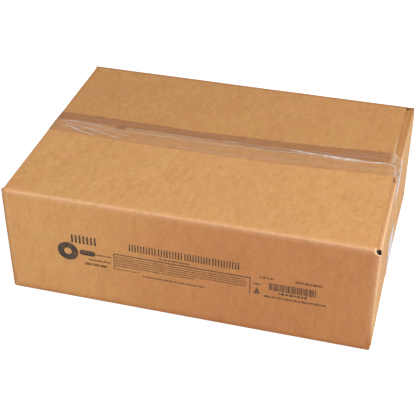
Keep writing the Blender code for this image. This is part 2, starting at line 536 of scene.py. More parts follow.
class EffectGroups:
    """The effects that several finishes share, each built once as a shader node group."""

    def __init__(self) -> None:
        """Builds every group."""
        self.paper = self.build_paper()
        self.folds = self.build_folds()
        self.flutes = self.build_flutes()
        self.blots = self.build_blots()

    def build_paper(self) -> bpy.types.NodeTree:
        """Mottling and fibres of kraft paper.

        Returns:
            A group whose Shade and Hue are 0 to 1 round one half, and whose Relief is a height.
        """
        inputs = {"Place": (0.0, 0.0, 0.0), "Cloud Scale": 24.0, "Blotch Scale": 150.0, "Fibre Scale": 700.0}
        group = GroupTree("kraft_paper", inputs, ("Shade", "Hue", "Relief"))
        place = group.inputs["Place"]
        clouds = group.noise(place, group.inputs["Cloud Scale"], 3.0, 0.55)
        along_flutes = group.scaled(place, (1.0, 0.4, 0.4))
        blotches = group.noise(along_flutes, group.inputs["Blotch Scale"], 2.0, 0.6)
        lying = group.scaled(place, (0.35, 0.35, 1.0))
        fibres = group.noise(lying, group.inputs["Fibre Scale"], 3.0, 0.65)
        broad = group.math("ADD", group.math("MULTIPLY", clouds, 0.2), group.math("MULTIPLY", blotches, 0.36))
        group.feed(group.outputs["Shade"], group.math("ADD", broad, group.math("MULTIPLY", fibres, 0.44)))
        other_place = group.node("ShaderNodeVectorMath", operation="ADD")
        group.feed(other_place.inputs[0], place)
        group.feed(other_place.inputs[1], (3.1, 1.7, 5.3))
        group.feed(group.outputs["Hue"], group.noise(other_place.outputs[0], 46.0, 2.0, 0.5))
        relief = group.math("ADD", group.math("MULTIPLY", blotches, 0.6), group.math("MULTIPLY", fibres, 0.4))
        group.feed(group.outputs["Relief"], relief)
        return group.tree

    def build_folds(self) -> bpy.types.NodeTree:
        """Nearness to the folds of a box, whose Half Size is the distance of its faces from its Centre.

        Returns:
            A group whose Edge is 1 on a fold and 0 beyond Reach.
        """
        inputs = {
            "Place": (0.0, 0.0, 0.0),
            "Half Size": (1.0, 1.0, 1.0),
            "Centre": (0.0, 0.0, 0.0),
            "Reach": 0.004,
        }
        group = GroupTree("fold_edges", inputs, ("Edge",))
        offset = group.node("ShaderNodeVectorMath", operation="SUBTRACT")
        group.feed(offset.inputs[0], group.inputs["Place"])
        group.feed(offset.inputs[1], group.inputs["Centre"])
        size = group.node("ShaderNodeVectorMath", operation="ABSOLUTE")
        group.feed(size.inputs[0], offset.outputs[0])
        inside = group.node("ShaderNodeVectorMath", operation="SUBTRACT")
        group.feed(inside.inputs[0], group.inputs["Half Size"])
        group.feed(inside.inputs[1], size.outputs[0])
        x, y, z = group.axes(inside.outputs[0])
        smaller = group.math("MINIMUM", x, y)
        larger = group.math("MAXIMUM", x, y)
        second = group.math("MAXIMUM", smaller, group.math("MINIMUM", larger, z))
        share = group.math("DIVIDE", second, group.inputs["Reach"])
        group.feed(group.outputs["Edge"], group.spread(share, 1.0, 0.0))
        return group.tree

    def build_flutes(self) -> bpy.types.NodeTree:
        """Faint ribs where the liner sinks between the flutes, across X, or across Y on the end walls.

        Returns:
            A group whose Ribs go from 0 to 1.
        """
        inputs = {"Place": (0.0, 0.0, 0.0), "Pitch": 0.0077, "Wander": 0.35}
        group = GroupTree("flute_ribs", inputs, ("Ribs",))
        x, y, _ = group.axes(group.inputs["Place"])
        facing_x, _, _ = group.axes(group.node("ShaderNodeNewGeometry").outputs["Normal"])
        on_end = group.math("GREATER_THAN", group.math("ABSOLUTE", facing_x), 0.7)
        on_long = group.math("SUBTRACT", 1.0, on_end)
        across = group.math("ADD", group.math("MULTIPLY", y, on_end), group.math("MULTIPLY", x, on_long))
        wander = group.math("MULTIPLY", group.noise(group.inputs["Place"], 18.0), group.inputs["Wander"])
        turns = group.math("ADD", group.math("DIVIDE", across, group.inputs["Pitch"]), wander)
        wave = group.math("SINE", group.math("MULTIPLY", turns, math.tau))
        group.feed(group.outputs["Ribs"], group.math("MULTIPLY_ADD", wave, 0.5, 0.5))
        return group.tree

    def build_blots(self) -> bpy.types.NodeTree:
        """Patches and specks where a thin coat lies unevenly.

        Returns:
            A group whose Cover is 1 where the coat is whole, less Depth where it is thinnest.
        """
        inputs = {"Place": (0.0, 0.0, 0.0), "Scale": 900.0, "Depth": 0.4}
        group = GroupTree("uneven_coat", inputs, ("Cover",))
        grains = group.noise(group.inputs["Place"], group.inputs["Scale"], 3.0, 0.7)
        thin = group.spread(grains, 0.5, 0.72)
        missing = group.math("MULTIPLY", thin, group.inputs["Depth"])
        group.feed(group.outputs["Cover"], group.math("SUBTRACT", 1.0, missing))
        return group.tree


def new_material(name: str) -> tuple[bpy.types.Material, ShaderTree, bpy.types.Node]:
    """Starts a material.

    Args:
        name: The material's name.

    Returns:
        The material, its tree, and the Principled shader in it.
    """
    made = bpy.data.materials.new(name)
    made.use_nodes = True
    return made, ShaderTree(made.node_tree), made.node_tree.nodes["Principled BSDF"]


@dataclass(frozen=True)
class KraftLiner:
    """Brown kraft liner: mottled, faintly ribbed by its flutes, paler where it is worn or torn.

    Folds to the front and above, which face the light, are paler with wear and a painted highlight, and those
    at the back and below carry painted shade, partly where the fold is squeezed dark. The back top flap is of
    a deeper tone, the front wall turns darker and redder towards the right, and the right end wall is painted
    paler with the sheen that it shows at a slant.
    """

    name: str
    dark: Colour = screen_colour(199, 142, 87)
    light: Colour = screen_colour(216, 164, 102)
    rosy: Colour = screen_colour(212, 152, 102)
    deep_flap: Colour = (0.885, 0.85, 0.815)
    deep_front: Colour = (0.85, 0.71, 0.70)
    # Paints the right end wall paler and whiter, as the sheen it shows at a slant.
    end_sheen_tint: Colour = (1.0, 1.08, 1.24)
    # Fold colours: pale for wear with a painted highlight, dark for painted shade on squeezed folds.
    wear_and_highlight: Colour = screen_colour(244, 200, 163)
    pressed_and_shaded: Colour = screen_colour(152, 90, 48)
    torn: Colour = screen_colour(252, 214, 176)
    tear_centre: Point = (0.2164, -0.1548, 0.1418)
    tear_reach: Span = (0.0088, 0.0074)
    tear_grain: float = 520.0
    tear_raggedness: float = 0.006
    exposed_x: Span = (-0.2180, -0.2110)
    exposed_y: Span = (0.12, -0.12)
    exposed_z: Span = (0.005, 0.05)
    narrow_reach: float = 0.0042
    broad_reach: float = 0.0105
    narrow_highlight_wear: float = 0.3
    broad_highlight_wear: float = 0.3
    pressed_shade_strength: float = 0.5
    rub_grain: float = 260.0
    least_rub: float = 0.45
    top_share: float = 0.35
    top_depth: float = 0.0018
    crest_highlight_wear: float = 0.66
    crest_drop: float = 0.0008
    crest_reach: float = 0.0026
    peeled_x: Span = (0.2074, 0.2086)
    peeled_y: Span = (0.085, 0.035)
    peeled_z: Span = (0.143, 0.1445)
    peeled_grain: float = 340.0
    peeled_raggedness: float = 0.004
    peeled_share: float = 0.35
    back_flap_y: Span = (-0.001, 0.001)
    deep_front_x: Span = (-0.19, 0.07)
    upward: Span = (0.4, 0.95)
    frontward: Span = (-0.5, -0.97)
    rightward: Span = (0.3, 0.9)
    shade_range: Span = (0.3, 0.7)
    roughness: float = 0.66
    roughness_swing: float = 0.06
    specular: float = 0.25
    relief: float = 0.00005
    rib_depth: float = 0.00003

    def fold_masks(self, tree: ShaderTree, form: CartonForm, groups: EffectGroups) -> tuple[Socket, Socket]:
        """Where folds are paler with wear and a painted highlight, and where they carry painted shade and are
        squeezed dark.

        Args:
            tree: The material's tree.
            form: The carton.
            groups: The shared effects.

        Returns:
            Both masks, from 0 to 1.
        """
        place = tree.place()
        x, y, z = tree.axes(place)
        box = {"Half_Size": (form.length / 2, form.width / 2, form.middle), "Centre": (0.0, 0.0, form.middle)}
        narrow = tree.use(groups.folds, Place=place, Reach=self.narrow_reach, **box).outputs["Edge"]
        broad = tree.use(groups.folds, Place=place, Reach=self.broad_reach, **box).outputs["Edge"]
        exposed = tree.math("MULTIPLY", tree.spread(y, *self.exposed_y), tree.spread(z, *self.exposed_z))
        exposed = tree.math("MULTIPLY", exposed, tree.spread(x, *self.exposed_x))
        grains = tree.noise(place, self.rub_grain, 3.0, 0.6)
        breakup = tree.spread(grains, 0.25, 0.6, self.least_rub, 1.0)
        # Wear with a painted highlight on the folds that face the light: to the front, above, and not at the
        # left end.
        near = tree.math("MULTIPLY", narrow, self.narrow_highlight_wear)
        wear_and_highlight = tree.math("MULTIPLY_ADD", broad, self.broad_highlight_wear, near)
        # The minor flaps' fold lines get wear with a painted highlight.
        crest_highlight = tree.math("MULTIPLY", self.crest_highlight_mask(tree, form), self.crest_highlight_wear)
        # Painted shade on the folds at the back, below and at the left end, which turn from the light.
        hidden = tree.math("MULTIPLY", broad, tree.math("SUBTRACT", 1.0, exposed))
        turned = tree.spread(z, form.height, form.height - self.top_depth, self.top_share, 1.0)
        wear_and_highlight_there = tree.math("MULTIPLY", tree.math("MULTIPLY", wear_and_highlight, exposed), turned)
        rubbed_and_lit = tree.math("MAXIMUM", wear_and_highlight_there, crest_highlight)
        return (
            tree.math("MULTIPLY", rubbed_and_lit, breakup, clamp=True),
            tree.math("MULTIPLY", hidden, self.pressed_shade_strength),
        )

    def crest_highlight_mask(self, tree: ShaderTree, form: CartonForm) -> Socket:
        """Where the minor flaps' folds stand out furthest and are paler with wear and a painted highlight.

        Args:
            tree: The material's tree.
            form: The carton.

        Returns:
            The mask, from 0 to 1.
        """
        x, y, z = tree.axes(tree.place())
        aside = tree.math("SUBTRACT", tree.math("ABSOLUTE", x), form.length / 2 - form.end_hollow / 2)
        above = tree.math("SUBTRACT", z, form.middle + form.minor_top - self.crest_drop)
        squares = [tree.math("POWER", way, 2.0) for way in (aside, above)]
        apart = tree.math("SQRT", tree.math("ADD", *squares))
        fading = tree.spread(y, 0.0, 0.10, 1.0, 0.3)
        return tree.math("MULTIPLY", tree.spread(apart, self.crest_reach, self.crest_reach / 3), fading)

    def peeled_end(self, tree: ShaderTree, form: CartonForm) -> Socket:
        """Where the liner is peeled off along the back top flap's right end.

        Args:
            tree: The material's tree.
            form: The carton.

        Returns:
            The mask, from 0 to 1.
        """
        place = tree.place()
        x, y, z = tree.axes(place)
        grains = tree.noise(place, self.peeled_grain, 3.0, 0.6)
        ragged = tree.math("MULTIPLY_ADD", grains, self.peeled_raggedness, x)
        near_end = tree.spread(ragged, *self.peeled_x)
        behind_seam = tree.spread(y, form.seam_y, form.seam_y + 0.004)
        fading = tree.math("MULTIPLY", tree.spread(y, *self.peeled_y), tree.spread(z, *self.peeled_z))
        on_flap = tree.math("MULTIPLY", behind_seam, fading)
        return tree.math("MULTIPLY", tree.math("MULTIPLY", near_end, on_flap), self.peeled_share)

    def toned(self, tree: ShaderTree, colour: Socket, form: CartonForm) -> Socket:
        """Gives each panel its own tone, and paints the right end wall paler with the sheen that it shows at
        a slant.

        Args:
            tree: The material's tree.
            colour: The liner's colour.
            form: The carton.

        Returns:
            The toned colour.
        """
        x, y, _ = tree.axes(tree.place())
        normal_x, normal_y, normal_z = tree.axes(tree.node("ShaderNodeNewGeometry").outputs["Normal"])
        back = tree.spread(y, *(form.seam_y + reach for reach in self.back_flap_y))
        on_back_flap = tree.math("MULTIPLY", tree.spread(normal_z, *self.upward), back)
        right = tree.spread(x, *self.deep_front_x)
        on_front = tree.math("MULTIPLY", tree.spread(normal_y, *self.frontward), right)
        # Painted sheen on the walls that face right.
        on_end = tree.spread(normal_x, *self.rightward)
        toned = tree.mix(on_back_flap, colour, self.deep_flap, "MULTIPLY")
        toned = tree.mix(on_front, toned, self.deep_front, "MULTIPLY")
        return tree.mix(on_end, toned, self.end_sheen_tint, "MULTIPLY")

    def tear_mask(self, tree: ShaderTree) -> Socket:
        """Where the liner is peeled off round the torn corner.

        Args:
            tree: The material's tree.

        Returns:
            The mask, from 0 to 1.
        """
        place = tree.place()
        apart = tree.apart(place, self.tear_centre)
        grains = tree.noise(place, self.tear_grain, 2.0)
        ragged = tree.math("MULTIPLY_ADD", grains, self.tear_raggedness, apart)
        return tree.spread(ragged, *self.tear_reach)

    def build(self, form: CartonForm, groups: EffectGroups) -> bpy.types.Material:
        """Makes the material.

        Args:
            form: The carton, whose folds are worn.
            groups: The shared effects.

        Returns:
            The material.
        """
        material, tree, shader = new_material(self.name)
        place = tree.place()
        paper = tree.use(groups.paper, Place=place)
        ribs = tree.use(groups.flutes, Place=place).outputs["Ribs"]
        shade = tree.spread(paper.outputs["Shade"], *self.shade_range)
        tone = tree.mix(shade, self.dark, self.light)
        tinted = tree.mix(tree.spread(paper.outputs["Hue"], 0.45, 0.68, 0.0, 0.45), tone, self.rosy)
        wear_and_highlight, pressed_and_shaded = self.fold_masks(tree, form, groups)
        toned = self.toned(tree, tinted, form)
        # Folds get wear with a painted highlight, or painted shade.
        folded = tree.mix(wear_and_highlight, tree.mix(pressed_and_shaded, toned, self.pressed_and_shaded), self.wear_and_highlight)
        folded = tree.mix(self.peeled_end(tree, form), folded, self.torn)
        tree.feed(shader.inputs["Base Color"], tree.mix(self.tear_mask(tree), folded, self.torn))
        rib_height = tree.math("MULTIPLY", ribs, self.rib_depth / self.relief)
        height = tree.math("ADD", paper.outputs["Relief"], rib_height)
        tree.feed(shader.inputs["Normal"], tree.bump(height, self.relief))
        matt, sleek = self.roughness + self.roughness_swing, self.roughness - self.roughness_swing
        sheen = tree.spread(paper.outputs["Shade"], *self.shade_range, matt, sleek)
        tree.feed(shader.inputs["Roughness"], sheen)
        shader.inputs["Specular IOR Level"].default_value = self.specular
        return material


@dataclass(frozen=True)
class RawBoard:
    """Cut and torn board: open paper fibres without the liner's pressed face, painted nearly black near the
    torn hole as the shade deep inside it.
    """

    name: str
    dark: Colour
    light: Colour
    shaded: Colour = (0.022, 0.012, 0.006)
    hole: Point = (0.2138, -0.1523, 0.1400)
    hole_shade_reach: Span = (0.0070, 0.0050)
    roughness: float = 0.95
    relief: float = 0.00012

    def build(self, groups: EffectGroups) -> bpy.types.Material:
        """Makes the material.

        Args:
            groups: The shared effects.

        Returns:
            The material.
        """
        material, tree, shader = new_material(self.name)
        paper = tree.use(groups.paper, Place=tree.place(), Blotch_Scale=420.0, Fibre_Scale=1900.0)
        shade = tree.spread(paper.outputs["Shade"], 0.34, 0.66)
        # Painted shade: near the torn hole the board turns nearly black.
        in_hole_shade = tree.spread(tree.apart(tree.place(), self.hole), *self.hole_shade_reach)
        tone = tree.mix(shade, self.dark, self.light)
        tree.feed(shader.inputs["Base Color"], tree.mix(in_hole_shade, tone, self.shaded))
        tree.feed(shader.inputs["Normal"], tree.bump(paper.outputs["Relief"], self.relief))
        tree.feed(shader.inputs["Roughness"], self.roughness)
        return material


@dataclass(frozen=True)
class ClearFilm:
    """Clear packing tape: darker where it holds the board fast, whiter on its wrinkles with a painted glare,
    whiter on its loose tails with a painted reflection at a slant, and darkened by painted shadows in a few
    hollows.
    """

    name: str
    bonded: Colour = (0.42, 0.165, 0.07)
    loose: Colour = (0.78, 0.47, 0.22)
    # Crease colour with its painted glare, the tails' painted reflection, and the painted shadow marks.
    wrinkle_and_glare: Colour = screen_colour(238, 230, 228)
    tail: Colour = screen_colour(232, 228, 234)
    dark: Colour = screen_colour(84, 48, 30)
    streak_grain: float = 420.0
    streakiness: float = 1.7
    tail_reflection_facing: float = 0.22
    tail_reflection_slanting: float = 0.98
    slant: Span = (0.35, 0.75)
    cover: float = 0.2
    marked_cover: float = 0.85
    roughness: float = 0.2
    specular: float = 0.35
    relief: float = 0.00008

    def build(self, groups: EffectGroups) -> bpy.types.Material:
        """Makes the material, which reads the masks that the film's mesh carries.

        Args:
            groups: The shared effects.

        Returns:
            The material.
        """
        material, tree, shader = new_material(self.name)
        place = tree.place()
        streaks = tree.noise(tree.scaled(place, (0.12, 1.0, 1.0)), self.streak_grain, 3.0, 0.6)
        clouded = tree.math("MULTIPLY_ADD", streaks, self.streakiness, tree.painted("bond"))
        bond = tree.math("SUBTRACT", clouded, self.streakiness / 2, clamp=True)
        # Crease whiteness with its painted glare.
        wrinkle_and_glare = tree.painted("wrinkle_and_glare")
        # Painted shadow marks in hollows under the film.
        dark = tree.painted("dark")
        # Painted reflection: the tails turn white where they are seen at a slant.
        slanting = tree.node("ShaderNodeLayerWeight").outputs["Facing"]
        shine = tree.spread(slanting, *self.slant, self.tail_reflection_facing, self.tail_reflection_slanting)
        tail = tree.math("MULTIPLY", tree.painted("tail"), shine)
        body = tree.mix(tail, tree.mix(bond, self.loose, self.bonded), self.tail)
        marked = tree.mix(dark, tree.mix(wrinkle_and_glare, body, self.wrinkle_and_glare), self.dark)
        tree.feed(shader.inputs["Base Color"], marked)
        seen = tree.math("MAXIMUM", tree.math("MAXIMUM", wrinkle_and_glare, dark), tail)
        alpha = tree.math("MULTIPLY_ADD", seen, self.marked_cover - self.cover, self.cover)
        tree.feed(shader.inputs["Alpha"], alpha)
        tree.feed(shader.inputs["Roughness"], self.roughness)
        shader.inputs["Specular IOR Level"].default_value = self.specular
        coat = tree.use(groups.blots, Place=place, Scale=160.0, Depth=0.5)
        tree.feed(shader.inputs["Normal"], tree.bump(coat.outputs["Cover"], self.relief))
        return material


@dataclass(frozen=True)
class PrintInk:
    """One brown-black ink, rolled on thinly so that the liner shows through in specks."""

    name: str
    cover: float = 0.92
    colour: Colour = screen_colour(66, 53, 42)
    thin: Colour = screen_colour(98, 74, 56)
    speck_depth: float = 0.45
    patch_grain: float = 150.0
    roughness: float = 0.7

    def build(self, groups: EffectGroups) -> bpy.types.Material:
        """Makes the material.

        Args:
            groups: The shared effects.

        Returns:
            The material.
        """
        material, tree, shader = new_material(self.name)
        place = tree.place()
        coat = tree.use(groups.blots, Place=place, Depth=self.speck_depth)
        patches = tree.spread(tree.noise(place, self.patch_grain, 2.0), 0.35, 0.65)
        tree.feed(shader.inputs["Base Color"], tree.mix(patches, self.colour, self.thin))
        tree.feed(shader.inputs["Alpha"], tree.math("MULTIPLY", coat.outputs["Cover"], self.cover))
        tree.feed(shader.inputs["Roughness"], self.roughness)
        return material


class BoardSheet:
    """One sheet of corrugated board, from grids of its outer face to a solid with hollow cut edges.

    Args:
        form: The carton that the sheet is folded to.
    """

    liner = 0.0004
    hollow = 0.0009
    jitter = 0.00018
    jitter_grain = 0.005

    def __init__(self, form: CartonForm) -> None:
        """Starts an empty sheet."""
        self.form = form
        self.numbers: dict[tuple[int, ...], int] = {}
        self.places: list[np.ndarray] = []
        self.outward: list[np.ndarray] = []
        self.depths: list[float] = []
        self.faces: list[tuple[int, ...]] = []

    def point(self, place: np.ndarray, outward: np.ndarray, depth: float) -> int:
        """Number of the point at a place, which is added where no grid has it yet.

        Args:
            place: The place.
            outward: The outer face's direction there.
            depth: The board's thickness there.

        Returns:
            The point's number.
        """
        key = tuple(np.round(place * WELD_KEYS_PER_METRE).astype(int))
        number = self.numbers.setdefault(key, len(self.places))
        if number == len(self.places):
            self.places.append(place)
            self.outward.append(outward)
            self.depths.append(depth)
        return number

    def add_grid(self, places: np.ndarray, outward: np.ndarray, depth: float) -> None:
        """Adds a grid of the outer face, joined to earlier grids wherever points meet.

        Args:
            places: Points in rows and columns, before the carton is filled.
            outward: The outer face's direction at each point, in the same shape.
            depth: The board's thickness there.
        """
        rows, columns = places.shape[:2]
        cells = [(r, c) for r in range(rows) for c in range(columns)]
        numbers = np.array([self.point(places[cell], outward[cell], depth) for cell in cells])
        numbers = numbers.reshape(rows, columns).tolist()
        across = np.cross(places[1, 1] - places[0, 0], places[1, 0] - places[0, 1])
        turned = across @ outward[0, 0] < 0
        for r in range(rows - 1):
            for c in range(columns - 1):
                ring = (numbers[r][c], numbers[r][c + 1], numbers[r + 1][c + 1], numbers[r + 1][c])
                ring = tuple(dict.fromkeys(ring))
                if len(ring) > 2:
                    self.faces.append(ring[::-1] if turned else ring)

    def rim_edges(self) -> list[tuple[int, int]]:
        """The outer face's open edges, each with the face on its left."""
        edges = {pair for ring in self.faces for pair in zip(ring, ring[1:] + ring[:1])}
        return [(a, b) for a, b in edges if (b, a) not in edges]

    def build(self, name: str, liner: bpy.types.Material, raw: bpy.types.Material) -> bpy.types.Object:
        """Makes the sheet solid: outer face, inner face, and cut edges with two liners over a hollow.

        Args:
            name: The piece's name.
            liner: Finish of the outer face.
            raw: Finish of the cut edges and the inner face.

        Returns:
            The object.
        """
        outward = np.array(self.outward)
        outer = self.form.displaced(np.array(self.places), outward)
        depths = np.array(self.depths)[:, None]
        edges = sorted(self.rim_edges())
        sideways = np.zeros_like(outer)
        for a, b in edges:
            away = np.cross(outer[b] - outer[a], outward[a] + outward[b])
            away /= np.linalg.norm(away) + 1e-12
            sideways[a] += away
            sideways[b] += away
        rim = sorted({number for edge in edges for number in edge})
        sideways[rim] /= np.linalg.norm(sideways[rim], axis=1)[:, None] + 1e-12
        rough = self.jitter * unevenness(outer[rim], [self.jitter_grain] * 3)
        outer[rim] += sideways[rim] * rough[:, None]
        inner = outer - outward * depths
        count = len(outer)
        under_liner = outer[rim] - outward[rim] * self.liner
        over_liner = inner[rim] + outward[rim] * self.liner
        recess = sideways[rim] * self.hollow
        rings = [under_liner, under_liner - recess, over_liner - recess, over_liner]
        order = {number: position for position, number in enumerate(rim)}
        levels = [lambda n: n]
        levels += [lambda n, k=k: 2 * count + k * len(rim) + order[n] for k in range(len(rings))]
        levels.append(lambda n: n + count)
        faces = [*self.faces, *(tuple(n + count for n in ring[::-1]) for ring in self.faces)]
        for a, b in edges:
            for upper, lower in zip(levels[:-1], levels[1:]):
                faces.append((upper(b), upper(a), lower(a), lower(b)))
        mesh = bpy.data.meshes.new(name)
        mesh.from_pydata(np.concatenate([outer, inner, *rings]).tolist(), [], faces)
        kinds = np.ones(len(faces), dtype=int)
        kinds[: len(self.faces)] = 0
        mesh.polygons.foreach_set("material_index", kinds)
        mesh.validate()
        return new_object(name, mesh, (liner, raw))


@dataclass
class CartonBlank:
    """The folded blank: four walls, four major flaps and four minor flaps in one sheet of board."""

    form: CartonForm
    step: float = 0.0042
    hidden_step: float = 0.0090
    fold_turns: int = 5
    corner_turns: int = 3
    seam_gap: float = 0.0010
    slot_end: float = 0.0040
    sheet: BoardSheet = field(init=False)

    def __post_init__(self) -> None:
        """Starts the sheet."""
        self.sheet = BoardSheet(self.form)

    def flap_end(self, side: Side, level: Level, end: End) -> float:
        """Where a major flap stops along X.

        Args:
            side: The long wall that it hangs on.
            level: Top or bottom.
            end: Which of its ends.

        Returns:
            The place.
        """
        if level is Level.TOP and end is End.RIGHT:
            short = self.form.front_short if side is Side.FRONT else self.form.back_short
        else:
            short = self.form.other_short
        return end.value * (self.form.length / 2 - short)

    def long_stops(self, side: Side) -> list[float]:
        """Places along X that a long wall's grid has to pass through.

        Args:
            side: Which long wall.

        Returns:
            The places in rising order.
        """
        reach = self.form.length / 2 - self.form.fold
        ends = {self.flap_end(side, level, end) for level in Level for end in End}
        return sorted(ends | {-reach, reach})

    @property
    def minor_stops(self) -> list[float]:
        """Places along Y that an end wall's grid has to pass through.

        Returns:
            The places in rising order.
        """
        reach = self.form.width / 2 - self.form.fold
        slot = self.form.width / 2 - self.slot_end
        return [-reach, -slot, slot, reach]

    @property
    def heights(self) -> np.ndarray:
        """Heights over the middle of every row of a long wall.

        Returns:
            The heights in rising order.
        """
        long_fold = self.form.middle - self.form.fold
        minor_fold = self.form.minor_top - self.form.fold
        return stations([-long_fold, -minor_fold, minor_fold, long_fold], self.step)

    @property
    def end_heights(self) -> np.ndarray:
        """Heights over the middle of every row of an end wall."""
        limit = self.form.minor_top - self.form.fold
        return np.array([h for h in self.heights if abs(h) <= limit + 1e-9])

    def add(self, first: np.ndarray, second: np.ndarray, way: Callable[..., tuple], depth: float) -> None:
        """Adds a grid over two ranges.

        Args:
            first: Values along the rows.
            second: Values along the columns.
            way: Gives a point and its outward direction for two values.
            depth: The board's thickness.
        """
        grid = [[way(a, b) for b in second] for a in first]
        places = np.array([[entry[0] for entry in row] for row in grid], dtype=float)
        outward = np.array([[entry[1] for entry in row] for row in grid], dtype=float)
        places[..., 2] += self.form.middle
        self.sheet.add_grid(places, outward, depth)

    def add_corner(self, end: End, side: Side) -> None:
        """Adds the rounded vertical fold between a long wall and an end wall.

        Args:
            end: Which end wall.
            side: Which long wall.
        """
        radius = self.form.fold
        centre_x = end.value * (self.form.length / 2 - radius)
        centre_y = side.value * (self.form.width / 2 - radius)

        def way(turn: float, height: float) -> tuple:
            """Point on the fold, turned from the long wall to the end wall."""
            out = (end.value * math.sin(turn), side.value * math.cos(turn), 0.0)
            return (centre_x + radius * out[0], centre_y + radius * out[1], height), out

        half = np.linspace(0, math.pi / 4, self.corner_turns)
        thin = radius - self.form.tuck
        self.add(half, self.heights, way, thin)
        self.add(half + math.pi / 4, self.end_heights, way, thin)

    def add_corner_cap(self, end: End, side: Side, level: Level) -> None:
        """Adds the rounded piece over a corner, between a long wall's fold and the vertical fold.

        Args:
            end: Which end wall.
            side: Which long wall.
            level: Top or bottom.
        """
        radius = self.form.fold
        centre = np.array([
            end.value * (self.form.length / 2 - radius),
            side.value * (self.form.width / 2 - radius),
            level.value * (self.form.middle - radius),
        ])

        def way(turn: float, tilt: float) -> tuple:
            """Point on the cap.

            Args:
                turn: How far it is turned from the long wall.
                tilt: How far it is tilted to the flap.

            Returns:
                The point and its outward direction.
            """
            flat = math.cos(tilt)
            sideways = (end.value * math.sin(turn) * flat, side.value * math.cos(turn) * flat)
            out = np.array([*sideways, level.value * math.sin(tilt)])
            return centre + radius * out, out

        tilts = np.linspace(0, math.pi / 2, self.fold_turns)
        self.add(np.linspace(0, math.pi / 4, self.corner_turns), tilts, way, radius - self.form.tuck)

    def add_major_flap(self, side: Side, level: Level) -> None:
        """Adds a long wall's fold and major flap.

        Args:
            side: Which long wall.
            level: Top or bottom.
        """
        form = self.form
        left, right = (self.flap_end(side, level, end) for end in End)
        centre_y = side.value * (form.width / 2 - form.fold)
        centre_z = level.value * (form.middle - form.fold)
        along = stations(self.long_stops(side), self.step)
        torn = (side, level) == (Side.FRONT, Level.TOP)
        fold_along = [x for x in along if not (torn and x > right + 1e-9)]

        def fold_way(tilt: float, x: float) -> tuple:
            """Point on the fold, tilted from the wall to the flap."""
            out = (0.0, side.value * math.cos(tilt), level.value * math.sin(tilt))
            return (x, centre_y + form.fold * out[1], centre_z + form.fold * out[2]), out

        def flap_way(y: float, x: float) -> tuple:
            """Point on the flat flap."""
            return (x, y, level.value * form.middle), (0.0, 0.0, level.value)

        tilts = np.linspace(0, math.pi / 2, self.fold_turns)
        self.add(tilts, np.array(fold_along), fold_way, form.fold - form.tuck)
        seam = form.seam_y if level is Level.TOP else 0.0
        across = stations([centre_y, seam + side.value * self.seam_gap / 2], self.step)
        flap_along = [x for x in along if left - 1e-9 <= x <= right + 1e-9]
        self.add(across, np.array(flap_along), flap_way, form.board)

    def add_minor_flap(self, end: End, level: Level) -> None:
        """Adds an end wall's fold and minor flap, which lies one board deeper than the major flaps.

        Args:
            end: Which end wall.
            level: Top or bottom.
        """
        form = self.form
        centre_x = end.value * (form.length / 2 - form.fold)
        centre_z = level.value * (form.minor_top - form.fold)
        slot = form.width / 2 - self.slot_end
        across = [y for y in stations(self.minor_stops, self.step) if abs(y) <= slot + 1e-9]

        def fold_way(tilt: float, y: float) -> tuple:
            """Point on the fold, tilted from the wall to the flap."""
            out = (end.value * math.cos(tilt), 0.0, level.value * math.sin(tilt))
            return (centre_x + form.fold * out[0], y, centre_z + form.fold * out[2]), out

        def flap_way(x: float, y: float) -> tuple:
            """Point on the flat flap."""
            return (x, y, level.value * form.minor_top), (0.0, 0.0, level.value)

        tilts = np.linspace(0, math.pi / 2, self.fold_turns)
        self.add(tilts, np.array(across), fold_way, form.fold - form.tuck)
        free_edge = end.value * (form.length / 2 - form.minor_flap)
        along = stations([centre_x, free_edge], self.hidden_step)
        self.add(along, np.array(across), flap_way, form.board)

    def add_walls(self) -> None:
        """Adds the four flat walls."""
        form = self.form

        def long_way(x: float, height: float) -> tuple:
            """Point on a long wall."""
            return (x, side.value * form.width / 2, height), (0.0, side.value, 0.0)

        def end_way(y: float, height: float) -> tuple:
            """Point on an end wall."""
            return (end.value * form.length / 2, y, height), (end.value, 0.0, 0.0)

        for side in Side:
            self.add(stations(self.long_stops(side), self.step), self.heights, long_way, form.board)
        for end in End:
            self.add(stations(self.minor_stops, self.step), self.end_heights, end_way, form.board)

    def build(self, liner: bpy.types.Material, raw: bpy.types.Material) -> bpy.types.Object:
        """Folds the blank, rounded folds first, because they are thinner where panels meet them.

        Args:
            liner: Finish of the outer face.
            raw: Finish of cut edges and the inside.

        Returns:
            The carton.
        """
        for end in End:
            for side in Side:
                self.add_corner(end, side)
                for level in Level:
                    if (end, side, level) != (End.RIGHT, Side.FRONT, Level.TOP):
                        self.add_corner_cap(end, side, level)
        for level in Level:
            for side in Side:
                self.add_major_flap(side, level)
            for end in End:
                self.add_minor_flap(end, level)
        self.add_walls()
        return self.sheet.build("carton_board", liner, raw)


